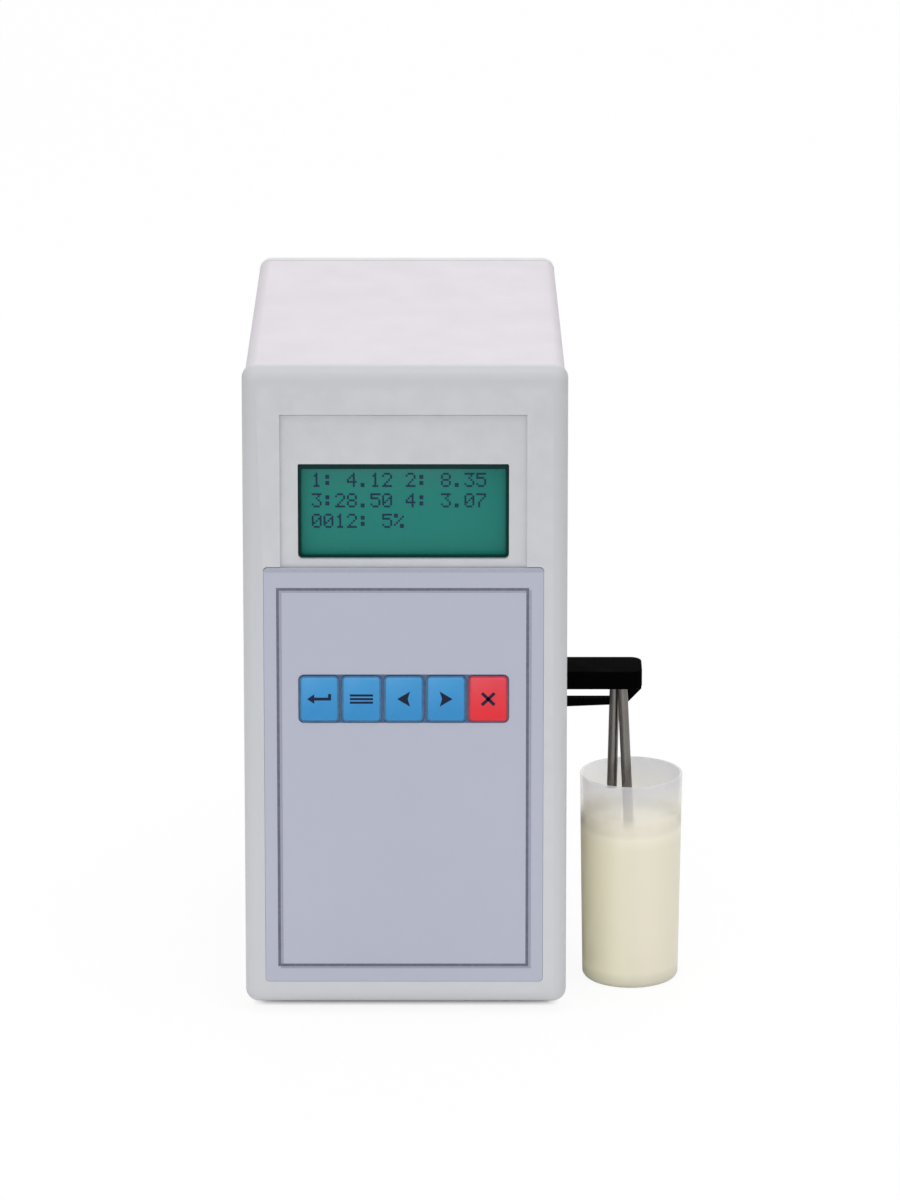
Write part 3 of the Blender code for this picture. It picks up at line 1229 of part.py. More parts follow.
def lift_bracket(material):
    half_width = CARRIAGE_WIDTH / 2 + BRACKET_SIDE
    front, rear = HEAD_Y - half_width, HEAD_Y + half_width
    left = SPINE_RIGHT - BRACKET_SHEET
    right = SIDE_IN - SHELF_WALL_GAP
    base = FLOOR_TOP + GAP
    spine = block((left, front, base), (SPINE_RIGHT, rear, SHELF_HIGH + BRACKET_SHEET))
    inside = SPINE_RIGHT - ROOT
    flanges = blocks([
        ((inside, front, base), (FLOOR_WIDTH / 2, rear, base + BRACKET_SHEET)),
        ((inside, front, SHELF_LOW - BRACKET_SHEET), (right, rear, SHELF_LOW)),
        ((inside, front, SHELF_HIGH), (right, rear, SHELF_HIGH + BRACKET_SHEET)),
    ])
    holes = rods([((ROD_X, y, SHELF_LOW - BRACKET_SHEET - OVERRUN),
                   (ROD_X, y, SHELF_HIGH + BRACKET_SHEET + OVERRUN)) for y in rod_ys()],
                 ROD_RADIUS + GAP, SMALL_SIDES)
    return solid("lift_bracket", material, spine, [flanges], [holes])


# Cup

def sample_cup(material):
    """A tapered beaker with a rounded foot, closed below and open above."""
    inner_rim = CUP_RIM_RADIUS - CUP_WALL
    inner_base = CUP_BASE_RADIUS - CUP_WALL
    floor = CUP_FOOT + CUP_WALL
    profile = [(0, floor), (inner_base - CUP_BASE_ROUND, floor),
               (inner_base, floor + CUP_BASE_ROUND), (inner_rim, CUP_HEIGHT),
               (CUP_RIM_RADIUS, CUP_HEIGHT)]
    for step in range(4):
        angle = math.pi / 2 * step / 3
        profile.append((CUP_BASE_RADIUS - CUP_BASE_ROUND * (1 - math.cos(angle)),
                        CUP_BASE_ROUND * (1 - math.sin(angle))))
    profile += [(CUP_BASE_RADIUS - CUP_BASE_ROUND - CUP_WALL, 0),
                (CUP_BASE_RADIUS - CUP_BASE_ROUND - 2 * CUP_WALL, CUP_FOOT), (0, CUP_FOOT)]
    return turned("sample_cup", material, profile, (CUP_X, CUP_Y, 0), sides=2 * SMALL_SIDES)


# Rear fittings

def chamfered(x, z, half_width, half_height, chamfer, y):
    """An inlet's outline: square above, cut off at the two lower corners."""
    low, high = z - half_height, z + half_height
    left, right = x - half_width, x + half_width
    return [(left, y, high), (left, y, low + chamfer), (left + chamfer, y, low),
            (right - chamfer, y, low), (right, y, low + chamfer), (right, y, high)]


def power_inlet(material):
    half, half_height = INLET_WIDTH / 2, INLET_HEIGHT / 2
    bottom = FITTING_FACE - INLET_RECESS
    flange = block(*opening(INLET_X, INLET_Z, half + INLET_LIP, half_height + INLET_LIP,
                            PANEL_FACE, FITTING_FACE))
    body = block(*opening(INLET_X, INLET_Z, half, half_height, PANEL_FACE - INLET_DEPTH,
                          PANEL_FACE + ROOT))
    recess = prism(chamfered(INLET_X, INLET_Z, half - INLET_WALL, half_height - INLET_WALL,
                             INLET_CHAMFER, bottom), (0, INLET_RECESS + OVERRUN, 0))
    obj = solid("power_inlet", material, flange, [body], [recess])
    places = [(0, BLADE_EARTH_Z), (-BLADE_SPREAD, BLADE_LINE_Z), (BLADE_SPREAD, BLADE_LINE_Z)]
    blades = blocks([opening(INLET_X + x, INLET_Z + z, BLADE_WIDTH / 2, BLADE_HEIGHT / 2,
                             bottom - ROOT, bottom + BLADE_LENGTH)
                     for x, z in places])
    combine(obj, blades, "UNION")
    return obj


def power_switch(material):
    half, half_height = SWITCH_WIDTH / 2, SWITCH_HEIGHT / 2
    flange = block(*opening(SWITCH_X, SWITCH_Z, half + SWITCH_LIP, half_height + SWITCH_LIP,
                            PANEL_FACE, FITTING_FACE))
    body = block(*opening(SWITCH_X, SWITCH_Z, half, half_height, PANEL_FACE - SWITCH_DEPTH,
                          PANEL_FACE + ROOT))
    well = block(*opening(SWITCH_X, SWITCH_Z, half - SWITCH_WALL, half_height - SWITCH_WALL,
                          FITTING_FACE - SWITCH_WELL, FITTING_FACE + OVERRUN))
    return solid("power_switch", material, flange, [body], [well])


def power_rocker(material):
    """A shallow V that tips about a pivot across the switch, resting with its lower end out."""
    half = SWITCH_WIDTH / 2 - SWITCH_WALL - GAP
    left = SWITCH_X - half
    side = [(ROCKER_REACH, ROCKER_FRONT), (0, ROCKER_VALLEY), (-ROCKER_REACH, ROCKER_FRONT),
            (-ROCKER_REACH + ROCKER_VALLEY, -ROCKER_BACK / 2), (0, -ROCKER_BACK),
            (ROCKER_REACH - ROCKER_VALLEY, -ROCKER_BACK / 2)]
    across, along = math.sin(ROCKER_TILT), math.cos(ROCKER_TILT)
    outline = [(left, ROCKER_PIVOT + out * along - up * across,
                SWITCH_Z + up * along + out * across) for up, out in side]
    return solid("power_rocker", material, prism(outline, (2 * half, 0, 0)),
                 origin=(SWITCH_X, ROCKER_PIVOT, SWITCH_Z))


def fuse_rod(front, back, radius):
    return rod((FUSE_X, front, FUSE_Z), (FUSE_X, back, FUSE_Z), radius)


def fuse(material, cap_material):
    flange = fuse_rod(PANEL_FACE, FITTING_FACE, FUSE_RADIUS + FUSE_LIP)
    body = fuse_rod(PANEL_FACE - FUSE_DEPTH, PANEL_FACE + ROOT, FUSE_RADIUS)
    bore = fuse_rod(FITTING_FACE - FUSE_STEM - GAP, FITTING_FACE + OVERRUN, FUSE_BORE_RADIUS)
    solid("fuse_holder", material, flange, [body], [bore])
    seat = FITTING_FACE + GAP
    knob = fuse_rod(seat, seat + FUSE_CAP, FUSE_CAP_RADIUS)
    stem = fuse_rod(seat - FUSE_STEM, seat + ROOT, FUSE_BORE_RADIUS - GAP)
    slot = block(*opening(FUSE_X, FUSE_Z, FUSE_SLOT / 2, FUSE_CAP_RADIUS,
                          seat + FUSE_CAP - FUSE_SLOT_DEPTH, seat + FUSE_CAP + OVERRUN))
    solid("fuse_cap", cap_material, knob, [stem], [slot], (FUSE_X, seat, FUSE_Z))


def serial_port(material):
    start = PANEL_FACE + PORT_FLANGE / 2
    plate = block(*opening(PORT_X, PORT_Z, PORT_FLANGE_WIDTH / 2, PORT_FLANGE_HEIGHT / 2,
                           PANEL_FACE, PANEL_FACE + PORT_FLANGE))
    body = block(*opening(PORT_X, PORT_Z, PORT_BODY_WIDTH / 2, PORT_BODY_HEIGHT / 2,
                          PANEL_FACE - PORT_DEPTH, start))
    half, half_height = PORT_WIDTH / 2, PORT_HEIGHT / 2
    side = [(-half, half_height), (PORT_SLANT - half, -half_height),
            (half - PORT_SLANT, -half_height), (half, half_height)]
    outline = [(PORT_X + x, start, PORT_Z + z) for x, z in side]
    collar = prism(outline, (0, PORT_OUT - PORT_FLANGE / 2, 0))
    return solid("serial_port", material, plate, [body, collar])


def build():
    materials = make_materials()
    front_bezel(materials["bezel"])
    case_shell(materials["shell"])
    rear_panel(materials["rear"])
    feet(materials["rubber"])
    rear_screws(materials["steel"])
    lcd_frame(materials["lcd_frame"])
    lcd_glass(materials["lcd_glass"])
    lcd_board(materials["board"])
    keypad_overlay(materials["overlay"])
    keys(materials)
    key_dome_sheet(materials["dome"])
    keypad_board(materials["board"])
    inner_chassis(materials["sheet"])
    main_board(materials["board"])
    controller_chip(materials["dark"])
    filter_capacitor(materials["dark"])
    ribbons(materials["ribbon"])
    transformer(materials)
    measuring_cell(materials["sheet"])
    transducers(materials["brass"])
    heater_plate(materials["copper"])
    pump_motor(materials["sheet"])
    pump_housing(materials["dark"])
    pump_cover(materials["acetal"])
    pump_rotor(materials["acetal"])
    pump_rollers(materials["steel"])
    pump_tube(materials["hose"])
    hoses(materials["hose"])
    probe_head(materials["black"])
    probe_tubes(materials["steel"])
    probe_rest(materials["black"])
    probe_carriage(materials["acetal"])
    guide_rods(materials["steel"])
    lift_bracket(materials["sheet"])
    sample_cup(materials["cup"])
    power_inlet(materials["black"])
    power_switch(materials["black"])
    power_rocker(materials["dark"])
    fuse(materials["black"], materials["dark"])
    serial_port(materials["sheet"])


clear_scene()
PARTS = make_collection("milk_analyzer")
HELPERS = make_collection("cutters")
BASE = make_root("milk_analyzer_root")
build()
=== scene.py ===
import math

import bmesh
import bpy
from mathutils import Matrix, Vector


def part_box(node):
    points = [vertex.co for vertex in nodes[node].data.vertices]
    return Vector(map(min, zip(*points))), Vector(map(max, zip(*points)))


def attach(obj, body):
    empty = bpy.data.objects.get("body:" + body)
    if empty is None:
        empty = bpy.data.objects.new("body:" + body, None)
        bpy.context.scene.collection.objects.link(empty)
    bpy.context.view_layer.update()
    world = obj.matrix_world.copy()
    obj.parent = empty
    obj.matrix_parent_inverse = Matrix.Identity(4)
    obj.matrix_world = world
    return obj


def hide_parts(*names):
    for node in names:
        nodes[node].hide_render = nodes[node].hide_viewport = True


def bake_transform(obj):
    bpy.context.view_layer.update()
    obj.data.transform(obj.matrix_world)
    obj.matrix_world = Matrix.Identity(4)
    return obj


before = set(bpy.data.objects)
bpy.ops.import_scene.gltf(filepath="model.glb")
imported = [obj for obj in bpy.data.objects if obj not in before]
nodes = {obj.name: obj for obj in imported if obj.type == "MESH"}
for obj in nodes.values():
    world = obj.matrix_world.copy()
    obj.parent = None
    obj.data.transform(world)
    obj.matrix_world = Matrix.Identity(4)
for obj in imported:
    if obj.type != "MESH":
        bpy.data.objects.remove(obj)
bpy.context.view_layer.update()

# Every piece is modelled in millimetres from the case's own axes: x from the middle of the
# front, y from the front face towards the rear, z up from the table.
millimetre = 0.001
caseLow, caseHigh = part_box("front_bezel")
caseMiddle = (caseLow.x + caseHigh.x) / 2
toRow = Matrix.Translation((caseMiddle, caseLow.y, 0)) @ Matrix.Scale(millimetre, 4)
toCase = toRow.inverted()
past = 1.0  # how far a cutter reaches beyond what it cuts


def caseBox(name):
    return [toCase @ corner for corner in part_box(name)]


def middleOf(low, high):
    return Vector((a + b) / 2 for a, b in zip(low, high))


class Sizes(dict):
    # a piece's dictionary, whose entries are also read as attributes
    __getattr__ = dict.__getitem__


# Materials

def rgb(*channels):
    def linear(channel):
        share = channel / 255
        return share / 12.92 if share <= 0.04045 else ((share + 0.055) / 1.055) ** 2.4
    return (*map(linear, channels), 1.0)


def tint(colour, factor):
    return tuple(min(1.0, channel * factor) for channel in colour[:3]) + (1.0,)


def setAll(target, **values):
    for key, value in values.items():
        setattr(target, key, value)
    return target


def setInputs(node, inputs):
    # another node's output is wired to the input, and a plain value is set
    for key, value in inputs.items():
        if hasattr(value, "is_output"):
            node.id_data.links.new(value, node.inputs[key])
        else:
            node.inputs[key].default_value = value


def addNode(tree, kind, inputs=(), **settings):
    node = setAll(tree.nodes.new("ShaderNode" + kind), **settings)
    setInputs(node, dict(inputs))
    return node.outputs


class Finish:
    # a Principled material with helpers that wire its texture nodes

    def __init__(self, name):
        self.material = bpy.data.materials.new(name)
        self.material.use_nodes = True
        self.tree = self.material.node_tree
        self.shader = self.tree.nodes["Principled BSDF"]
        self.coords = self.add("TexCoord")["Object"]

    def add(self, kind, inputs=(), **settings):
        return addNode(self.tree, kind, inputs, **settings)

    def mapped(self, **inputs):
        return self.add("Mapping", {"Vector": self.coords, **inputs})["Vector"]

    def noise(self, scale, detail=3.0, place=None):
        return self.add("TexNoise", {
            "Vector": place or self.coords, "Scale": scale, "Detail": detail})["Fac"]

    def ramp(self, factor, low=0.0, high=1.0, start=0.3, end=0.7):
        return self.add("MapRange", {"Value": factor, "From Min": start, "From Max": end,
                                     "To Min": low, "To Max": high})["Result"]

    def patches(self, scale, low=0.0, high=1.0, detail=3.0):
        # values between low and high that wander over the surface
        return self.ramp(self.noise(scale, detail), low, high)

    def axis(self, name):
        return self.add("SeparateXYZ", {0: self.coords})[name]

    def along(self, axis, start, end, low=0.0, high=1.0):
        return self.ramp(self.axis(axis), low, high, start, end)

    def mix(self, factor, first, second):
        return self.add("Mix", {0: factor, 6: first, 7: second}, data_type="RGBA")[2]

    def maths(self, operation, first, second=0.0):
        return self.add("Math", {0: first, 1: second}, operation=operation)[0]

    def times(self, first, second):
        return self.maths("MULTIPLY", first, second)

    def surface(self, colour, rough, height=None, depth=0.0, **others):
        # what the shader gets: a colour, a roughness, a bump with its depth in millimetres,
        # and the inputs that are named
        inputs = {"Base Color": colour, "Roughness": rough}
        if height:
            inputs["Normal"] = self.add("Bump", {
                "Height": height, "Distance": depth * millimetre})["Normal"]
        for key, value in others.items():
            inputs[key.replace("_", " ")] = value
        setInputs(self.shader, inputs)
        return self.material


def mouldedPlastic(name, colour, mottle, rough, grain, wear=0.3, wornTint=1.12, specular=0.4,
                   paintedFootLight=0.0):
    # a fine spark grain, slow mottling, polished spots and rubbed edges
    made = Finish(name)
    base = rgb(*colour)
    body = made.mix(made.patches(28.0, detail=4.0), tint(base, 1 - mottle), tint(base, 1 + mottle))
    if paintedFootLight:
        # painted light: a little lighter towards the foot of the piece, as if lit from the floor
        body = made.mix(made.along("Z", 0.0, 0.19), body, tint(base, 1 - paintedFootLight))
    edges = made.ramp(made.add("NewGeometry")["Pointiness"], start=0.52, end=0.62)
    worn = made.times(made.times(edges, made.patches(160.0, 0.2)), wear)
    return made.surface(made.mix(worn, body, tint(base, wornTint)),
                        made.patches(90.0, *rough, detail=5.0), made.noise(2600.0, 2.0), grain,
                        Specular_IOR_Level=specular)


def brushedMetal(name, colour, dull, tarnish, lines, rough, depth):
    # fine lines along one axis and slow tarnish
    made = Finish(name)
    base = rgb(*colour)
    grain = made.noise(1.0, place=made.mapped(Scale=lines))
    streaked = made.mix(made.ramp(grain), tint(base, 0.9), tint(base, 1.08))
    tarnished = made.times(made.patches(120.0, detail=5.0), tarnish)
    return made.surface(made.mix(tarnished, streaked, rgb(*dull)), made.ramp(grain, *rough),
                        grain, depth, Metallic=1.0)


def makeInk(name, colour, rough=0.5, spread=0.15):
    made = Finish(name)
    base = rgb(*colour)
    return made.surface(
        made.mix(made.patches(900.0), tint(base, 1 - spread), tint(base, 1 + spread)),
        made.patches(700.0, rough - 0.06, rough + 0.08), Specular_IOR_Level=0.2)


def makeBoard():
    # green laminate with fine copper lines under the mask
    made = Finish("circuitBoard")
    tracks = made.add("TexBrick", {"Vector": made.coords, "Scale": 160.0, "Mortar Size": 0.04,
                                   "Brick Width": 0.6, "Row Height": 0.3})["Fac"]
    green = made.mix(made.patches(70.0), rgb(18, 78, 44), rgb(28, 98, 56))
    return made.surface(made.mix(made.times(tracks, 0.55), green, rgb(60, 132, 74)),
                        made.patches(300.0, 0.35, 0.55), tracks, 0.03)


def makeRibbon():
    made = Finish("flatLead")
    wave = made.add("TexWave", {"Vector": made.coords, "Scale": 250.0}, bands_direction="Z")["Fac"]
    return made.surface(made.mix(wave, rgb(128, 130, 134), rgb(170, 172, 176)),
                        made.patches(200.0, 0.5, 0.7), wave, 0.2)


def makeOverlay():
    # printed film: a bluish grey with a very fine texture, and painted light: lighter towards the
    # foot
    made = Finish("labelFilm")
    base = rgb(170, 173, 188)
    body = made.mix(made.patches(22.0), tint(base, 0.985), tint(base, 1.015))
    return made.surface(made.mix(made.along("Z", 0.0, 0.14), body, tint(base, 0.95)),
                        made.patches(140.0, 0.4, 0.52, 4.0), made.noise(5200.0, 1.0), 0.006)


def makeKeyFilm(name, lower, upper):
    # embossed printed key with painted light: lighter along its upper part, as if the dome's
    # upper slope caught the light from above
    made = Finish(name)
    body = made.mix(made.along("Z", 0.0955, 0.1075), rgb(*lower), rgb(*upper))
    return made.surface(made.mix(made.patches(260.0, 0.0, 0.12), body, tint(rgb(*upper), 1.1)),
                        made.patches(400.0, 0.3, 0.42, 4.0), made.noise(5200.0, 1.0), 0.006)


def makeDisplayGlass():
    # green backlit glass: a soft glow and faint character cells
    made = Finish("displayGreen")
    body = made.mix(made.patches(14.0, detail=2.0), rgb(26, 113, 104), rgb(32, 119, 109))
    cells = made.add("TexBrick", {
        "Vector": made.mapped(Rotation=(math.pi / 2, 0, 0)), "Scale": 1.0,
        "Brick Width": 0.0006, "Row Height": 0.0006, "Mortar Size": 0.00006}, offset=0.0)["Fac"]
    return made.surface(made.mix(made.times(cells, 0.05), body, rgb(18, 92, 88)),
                        made.patches(60.0, 0.2, 0.3), Specular_IOR_Level=0.14)


def makeCup():
    # thin milky polypropylene: a dim view through it above the milk, and the milk's own tone
    # where milk stands behind it
    made = Finish("cupPlastic")
    haze = made.patches(45.0, detail=4.0)
    # painted light: the cup is lighter towards its left side, where the case shades it, both above
    # the milk and where milk stands behind it, and there it also lets more through
    left = made.along("X", 0.034, 0.052, 1.0, 0.0)
    empty = made.mix(left, made.mix(haze, rgb(209, 209, 216), rgb(215, 215, 222)),
                     rgb(240, 240, 243))
    # painted light: a warm glow just above the milk line, as if lit from the milk's surface
    paintedMilkGlow = made.mix(made.along("Z", 0.054, 0.066, 1.0, 0.0), empty, rgb(244, 240, 226))
    tinted = made.mix(left, rgb(226, 220, 199), rgb(254, 252, 214))
    below = made.mix(made.along("Z", 0.0005, 0.005, 0.7, 0.0), tinted, rgb(186, 185, 168))
    thin = made.maths("SUBTRACT", made.ramp(haze, 0.42, 0.46, 0.0, 1.0), made.times(left, 0.16))
    filled = made.along("Z", 0.0485, 0.0555, 1.0, 0.0)
    return made.surface(made.mix(made.along("Z", 0.045, 0.056, 1.0, 0.0), paintedMilkGlow, below),
                        made.patches(220.0, 0.3, 0.42, 4.0), made.noise(1800.0, 2.0), 0.01,
                        Alpha=made.mix(filled, thin, (0.96, 0.96, 0.96, 1)))


def makeMilk():
    made = Finish("milk")
    milky = made.mix(made.patches(30.0), rgb(230, 225, 203), rgb(235, 231, 212))
    # painted light and shade: low on the left, where the case's side lies close, the milk is
    # yellower and a little darker
    caseBounceTint = made.times(made.along("X", 0.034, 0.050, 0.9, 0.0), made.along("Z", 0.050, 0.040))
    body = made.mix(caseBounceTint, milky, rgb(226, 222, 180))
    # painted light: the milk's top surface is lighter, standing in for light that the cup's wall
    # keeps from it
    top = made.along("Z", 0.0492, 0.0496)
    return made.surface(made.mix(top, body, rgb(245, 241, 226)), made.patches(80.0, 0.2, 0.3),
                        Subsurface_Weight=0.25, Subsurface_Scale=0.004)


# name, colour, mottling, roughness range, grain in millimetres, wear, tint of worn edges,
# specular level and painted light towards the foot
plastics = {
    "bezel": ("paleFrontPlastic", (193, 195, 198), 0.003, (0.465, 0.495), 0.02, 0.3, 1.12, 0.35,
              0.14),
    "shell": ("paleSleevePlastic", (196, 191, 197), 0.005, (0.46, 0.56), 0.03),
    "rear": ("rearPanelPlastic", (200, 200, 203), 0.015, (0.45, 0.6), 0.04),
    "rubber": ("footRubber", (34, 34, 35), 0.2, (0.75, 0.92), 0.05, 0.3, 2.2),
    "black": ("armPlastic", (4, 4, 4), 0.15, (0.42, 0.55), 0.015, 0.5, 5.0, 0.0012),
    "fitting": ("fittingPlastic", (15, 15, 16), 0.15, (0.38, 0.52), 0.02, 0.4, 3.0, 0.3),
    "dark": ("darkPlastic", (44, 44, 47), 0.12, (0.42, 0.58), 0.03, 0.3, 1.8),
    "acetal": ("whiteAcetal", (232, 231, 224), 0.015, (0.35, 0.5), 0.02),
    "hose": ("hoseSilicone", (222, 216, 202), 0.05, (0.25, 0.4), 0.01),
    # the display frame is dark; its green tint is painted shade, standing for the shaded green
    # glass at the window's edge
    "lcd_frame": ("displayFrame", (14, 50, 48), 0.15, (0.35, 0.5), 0.01, 0.1, 1.12, 0.06),
}
# name, colour, dull colour, tarnish, scales of the lines, roughness range, depth in millimetres
metals = {
    "steel": ("tubeSteel", (123, 120, 116), (92, 87, 81), 0.5, (5200, 5200, 90), (0.24, 0.4),
              0.006),
    "sheet": ("sheetMetal", (186, 188, 190), (150, 150, 148), 0.4, (90, 3600, 3600),
              (0.3, 0.48), 0.006),
    "port": ("connectorShell", (192, 192, 190), (150, 148, 140), 0.5, (200, 3000, 3000),
             (0.22, 0.36), 0.004),
    "brass": ("transducerBrass", (200, 164, 94), (140, 104, 52), 0.6, (3000, 120, 3000),
              (0.25, 0.42), 0.005),
    "copper": ("copperWinding", (196, 112, 60), (126, 62, 34), 0.5, (90, 90, 3400),
               (0.28, 0.45), 0.03),
    "core": ("coreLaminations", (116, 118, 122), (84, 70, 60), 0.7, (2200, 60, 60), (0.4, 0.6),
             0.03),
    "dome": ("domeSheet", (196, 192, 184), (160, 152, 140), 0.4, (200, 2000, 200), (0.25, 0.4),
             0.004),
    "cell": ("cellBlock", (182, 184, 186), (150, 150, 150), 0.35, (60, 60, 2600), (0.25, 0.4),
             0.006),
}
# name, colour, roughness and spread of the colour
inks = {
    "blueRim": ("blueKeyRim", (58, 104, 142)), "redRim": ("redKeyRim", (158, 50, 68)),
    "icon": ("keyMark", (8, 18, 48)), "frameLine": ("labelLine", (98, 100, 116)),
    "frameShade": ("labelShade", (146, 149, 165), 0.5, 0.03),
    # painted shadow: the dark band along the label's top edge, under the pocket's upper step
    "bandInk": ("labelBand", (156, 159, 174), 0.5, 0.03),
    "keyLine": ("keyBorder", (70, 92, 128)), "dots": ("displayDots", (2, 34, 64), 0.4),
    "rockerMark": ("rockerMark", (225, 225, 225)),
}
finishes = {
    "board": makeBoard(), "ribbon": makeRibbon(), "overlay": makeOverlay(),
    "key_blue": makeKeyFilm("blueKey", (20, 126, 187), (43, 137, 194)),
    "key_red": makeKeyFilm("redKey", (214, 0, 24), (209, 45, 62)),
    "lcd_glass": makeDisplayGlass(), "cup": makeCup(), "milk": makeMilk(),
}
for make, table in ((mouldedPlastic, plastics), (brushedMetal, metals), (makeInk, inks)):
    finishes.update({key: make(*row) for key, row in table.items()})
print("materials ready:", len(finishes))


# Mesh helpers, all in millimetres

def linked(name, data):
    obj = bpy.data.objects.new(name, data)
    bpy.context.scene.collection.objects.link(obj)
    return obj


def meshFrom(name, bm):
    mesh = bpy.data.meshes.new(name)
    bm.to_mesh(mesh)
    bm.free()
    return mesh


def addBox(bm, low, high):
    size = [b - a for a, b in zip(low, high)]
    place = Matrix.Translation(middleOf(low, high)) @ Matrix.Diagonal((*size, 1))
    bmesh.ops.create_cube(bm, size=1.0, matrix=place)


def boxed(low, high):
    bm = bmesh.new()
    addBox(bm, low, high)
    return bm


def span(middle, half, bottom, top, near, far):
    # the two corners of a box: across, up and in depth
    return (middle - half, near, bottom), (middle + half, far, top)


def about(x, z, half, halfUp, near, far):
    return span(x, half, z - halfUp, z + halfUp, near, far)


def sideways(left, right, middle, half, bottom, top):
    # the corners of a box across the case's side
    return (left, middle - half, bottom), (right, middle + half, top)


def around(low, high, grow, near, far):
    # wider than another box by grow on every side of the front's plane
    return (low.x - grow, near, low.z - grow), (high.x + grow, far, high.z + grow)


def bevelEdges(bm, edges, width, segments=4):
    bmesh.ops.bevel(bm, geom=list(edges), offset=width, offset_type="OFFSET",
                    segments=segments, profile=0.5, affect="EDGES", material=-1)


def edgesAlong(bm, axis):
    return [edge for edge in bm.edges
            if abs((edge.verts[0].co - edge.verts[1].co).normalized()[axis]) > 0.99]


def rounded(low, high, radius, segments=6, axis=1):
    bm = boxed(low, high)
    bevelEdges(bm, edgesAlong(bm, axis), radius, segments)
    return bm


def merge(*parts):
    target = bmesh.new()
    for part in parts:
        mesh = meshFrom("part", part)
        target.from_mesh(mesh)
        bpy.data.meshes.remove(mesh)
    return target


def carve(bm, *cutters, operation="DIFFERENCE"):
    body, *tools = [linked("cutter", meshFrom("cutter", part)) for part in (bm, *cutters)]
    for tool in tools:
        setAll(body.modifiers.new("carve", "BOOLEAN"), operation=operation, solver="EXACT",
               object=tool)
    made = bmesh.new()
    made.from_object(body, bpy.context.evaluated_depsgraph_get())
    for obj in (body, *tools):
        bpy.data.meshes.remove(obj.data)  # the object goes with it
    return made


def united(bm, *others):
    return carve(bm, *others, operation="UNION")


def closed(bm):
    bmesh.ops.remove_doubles(bm, verts=bm.verts, dist=0.0005)
    bmesh.ops.recalc_face_normals(bm, faces=bm.faces)
    return bm


def stood(bm, centre, direction):
    # what was made about z, turned and moved to its place
    turn = Vector(direction).to_track_quat("Z", "Y").to_matrix().to_4x4()
    bmesh.ops.transform(bm, matrix=Matrix.Translation(centre) @ turn, verts=bm.verts)
    return bm


def turned(profile, centre=(0, 0, 0), direction=(0, 0, 1), steps=48):
    # (radius, height) pairs spun about an axis
    bm = bmesh.new()
    points = [bm.verts.new((radius, 0, height)) for radius, height in profile]
    edges = [bm.edges.new(pair) for pair in zip(points, points[1:])]
    if min(profile[0][0], profile[-1][0]) > 0:
        edges.append(bm.edges.new((points[-1], points[0])))
    bmesh.ops.spin(bm, geom=points + edges, axis=(0, 0, 1),
                   angle=math.tau, steps=steps, use_merge=True)
    return stood(closed(bm), centre, direction)


def rod(x, z, near, far, radius):
    length = far - near
    return turned([(0, 0), (radius, 0), (radius, length), (0, length)], (x, near, z),
                  (0, 1, 0), 24)


def arc(across, up, radius, start, end, steps):
    # angles in degrees
    angles = [math.radians(start + (end - start) * step / steps) for step in range(steps + 1)]
    return [(across + radius * math.cos(angle), up + radius * math.sin(angle)) for angle in angles]


def extrude(bm, faces, along):
    swept = bmesh.ops.extrude_face_region(bm, geom=faces)["geom"]
    moved = [item for item in swept if isinstance(item, bmesh.types.BMVert)]
    bmesh.ops.translate(bm, vec=along, verts=moved)
    return moved


def prism(outline, along):
    bm = bmesh.new()
    extrude(bm, [bm.faces.new([bm.verts.new(point) for point in outline])], along)
    return closed(bm)


def slab(outline, near, far):
    return prism([(x, near, z) for x, z in outline], (0, far - near, 0))


def hosePoints(route, steps=6):
    # a smooth curve through every place, straight at its ends
    knots = [Vector(place) for place in route]
    knots.insert(1, knots[0].lerp(knots[1], 0.4))
    knots.insert(-1, knots[-1].lerp(knots[-2], 0.4))
    knots = [knots[0] * 2 - knots[1]] + knots + [knots[-1] * 2 - knots[-2]]
    points = []
    for a, b, c, d in zip(knots, knots[1:], knots[2:], knots[3:]):
        for step in range(steps):
            t = step / steps
            points.append(b + (c - a) * (t / 2) + (a * 2 - b * 5 + c * 4 - d) * (t * t / 2)
                          + (b * 3 - a - c * 3 + d) * (t * t * t / 2))
    points.append(knots[-2])
    return points


def hoseMesh(points, radius):
    curve = setAll(bpy.data.curves.new("hose", "CURVE"), dimensions="3D", bevel_depth=radius,
                   bevel_resolution=5, use_fill_caps=True)
    spline = curve.splines.new("POLY")
    spline.points.add(len(points) - 1)
    for knot, point in zip(spline.points, points):
        knot.co = (*point, 1.0)
    obj = linked("hose", curve)
    mesh = bpy.data.meshes.new_from_object(
        obj.evaluated_get(bpy.context.evaluated_depsgraph_get()))
    bm = bmesh.new()
    bm.from_mesh(mesh)
    bpy.data.meshes.remove(mesh)
    bpy.data.curves.remove(curve)
    return closed(bm)


def addPiece(name, bm, finish, replaced=None, slot=None, body="case", edge=0.0, segments=2,
             sharp=38):
    # the slot argument is not used
    bmesh.ops.transform(bm, matrix=toRow, verts=bm.verts)
    mesh = meshFrom(name, bm)
    obj = linked(name, mesh)
    for item in [finish] if isinstance(finish, str) else finish:
        mesh.materials.append(finishes[item])
    mesh.shade_smooth()
    if edge:
        setAll(obj.modifiers.new("edges", "BEVEL"), width=edge * millimetre, segments=segments,
               limit_method="ANGLE", angle_limit=math.radians(sharp), harden_normals=True)
    else:
        mesh.set_sharp_from_angle(angle=math.radians(sharp))
    if body:
        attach(obj, body)
    if replaced:
        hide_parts(replaced)
    slot = finish if slot is None else slot
    return obj


# Camera, light and floor

camera = Sizes(
    place=(-0.004566, -2.498443, 0.874878),
    tilt=72.9975,  # degrees up from straight down
    lens=252.38, sensor=36.0, clip=(0.01, 50))
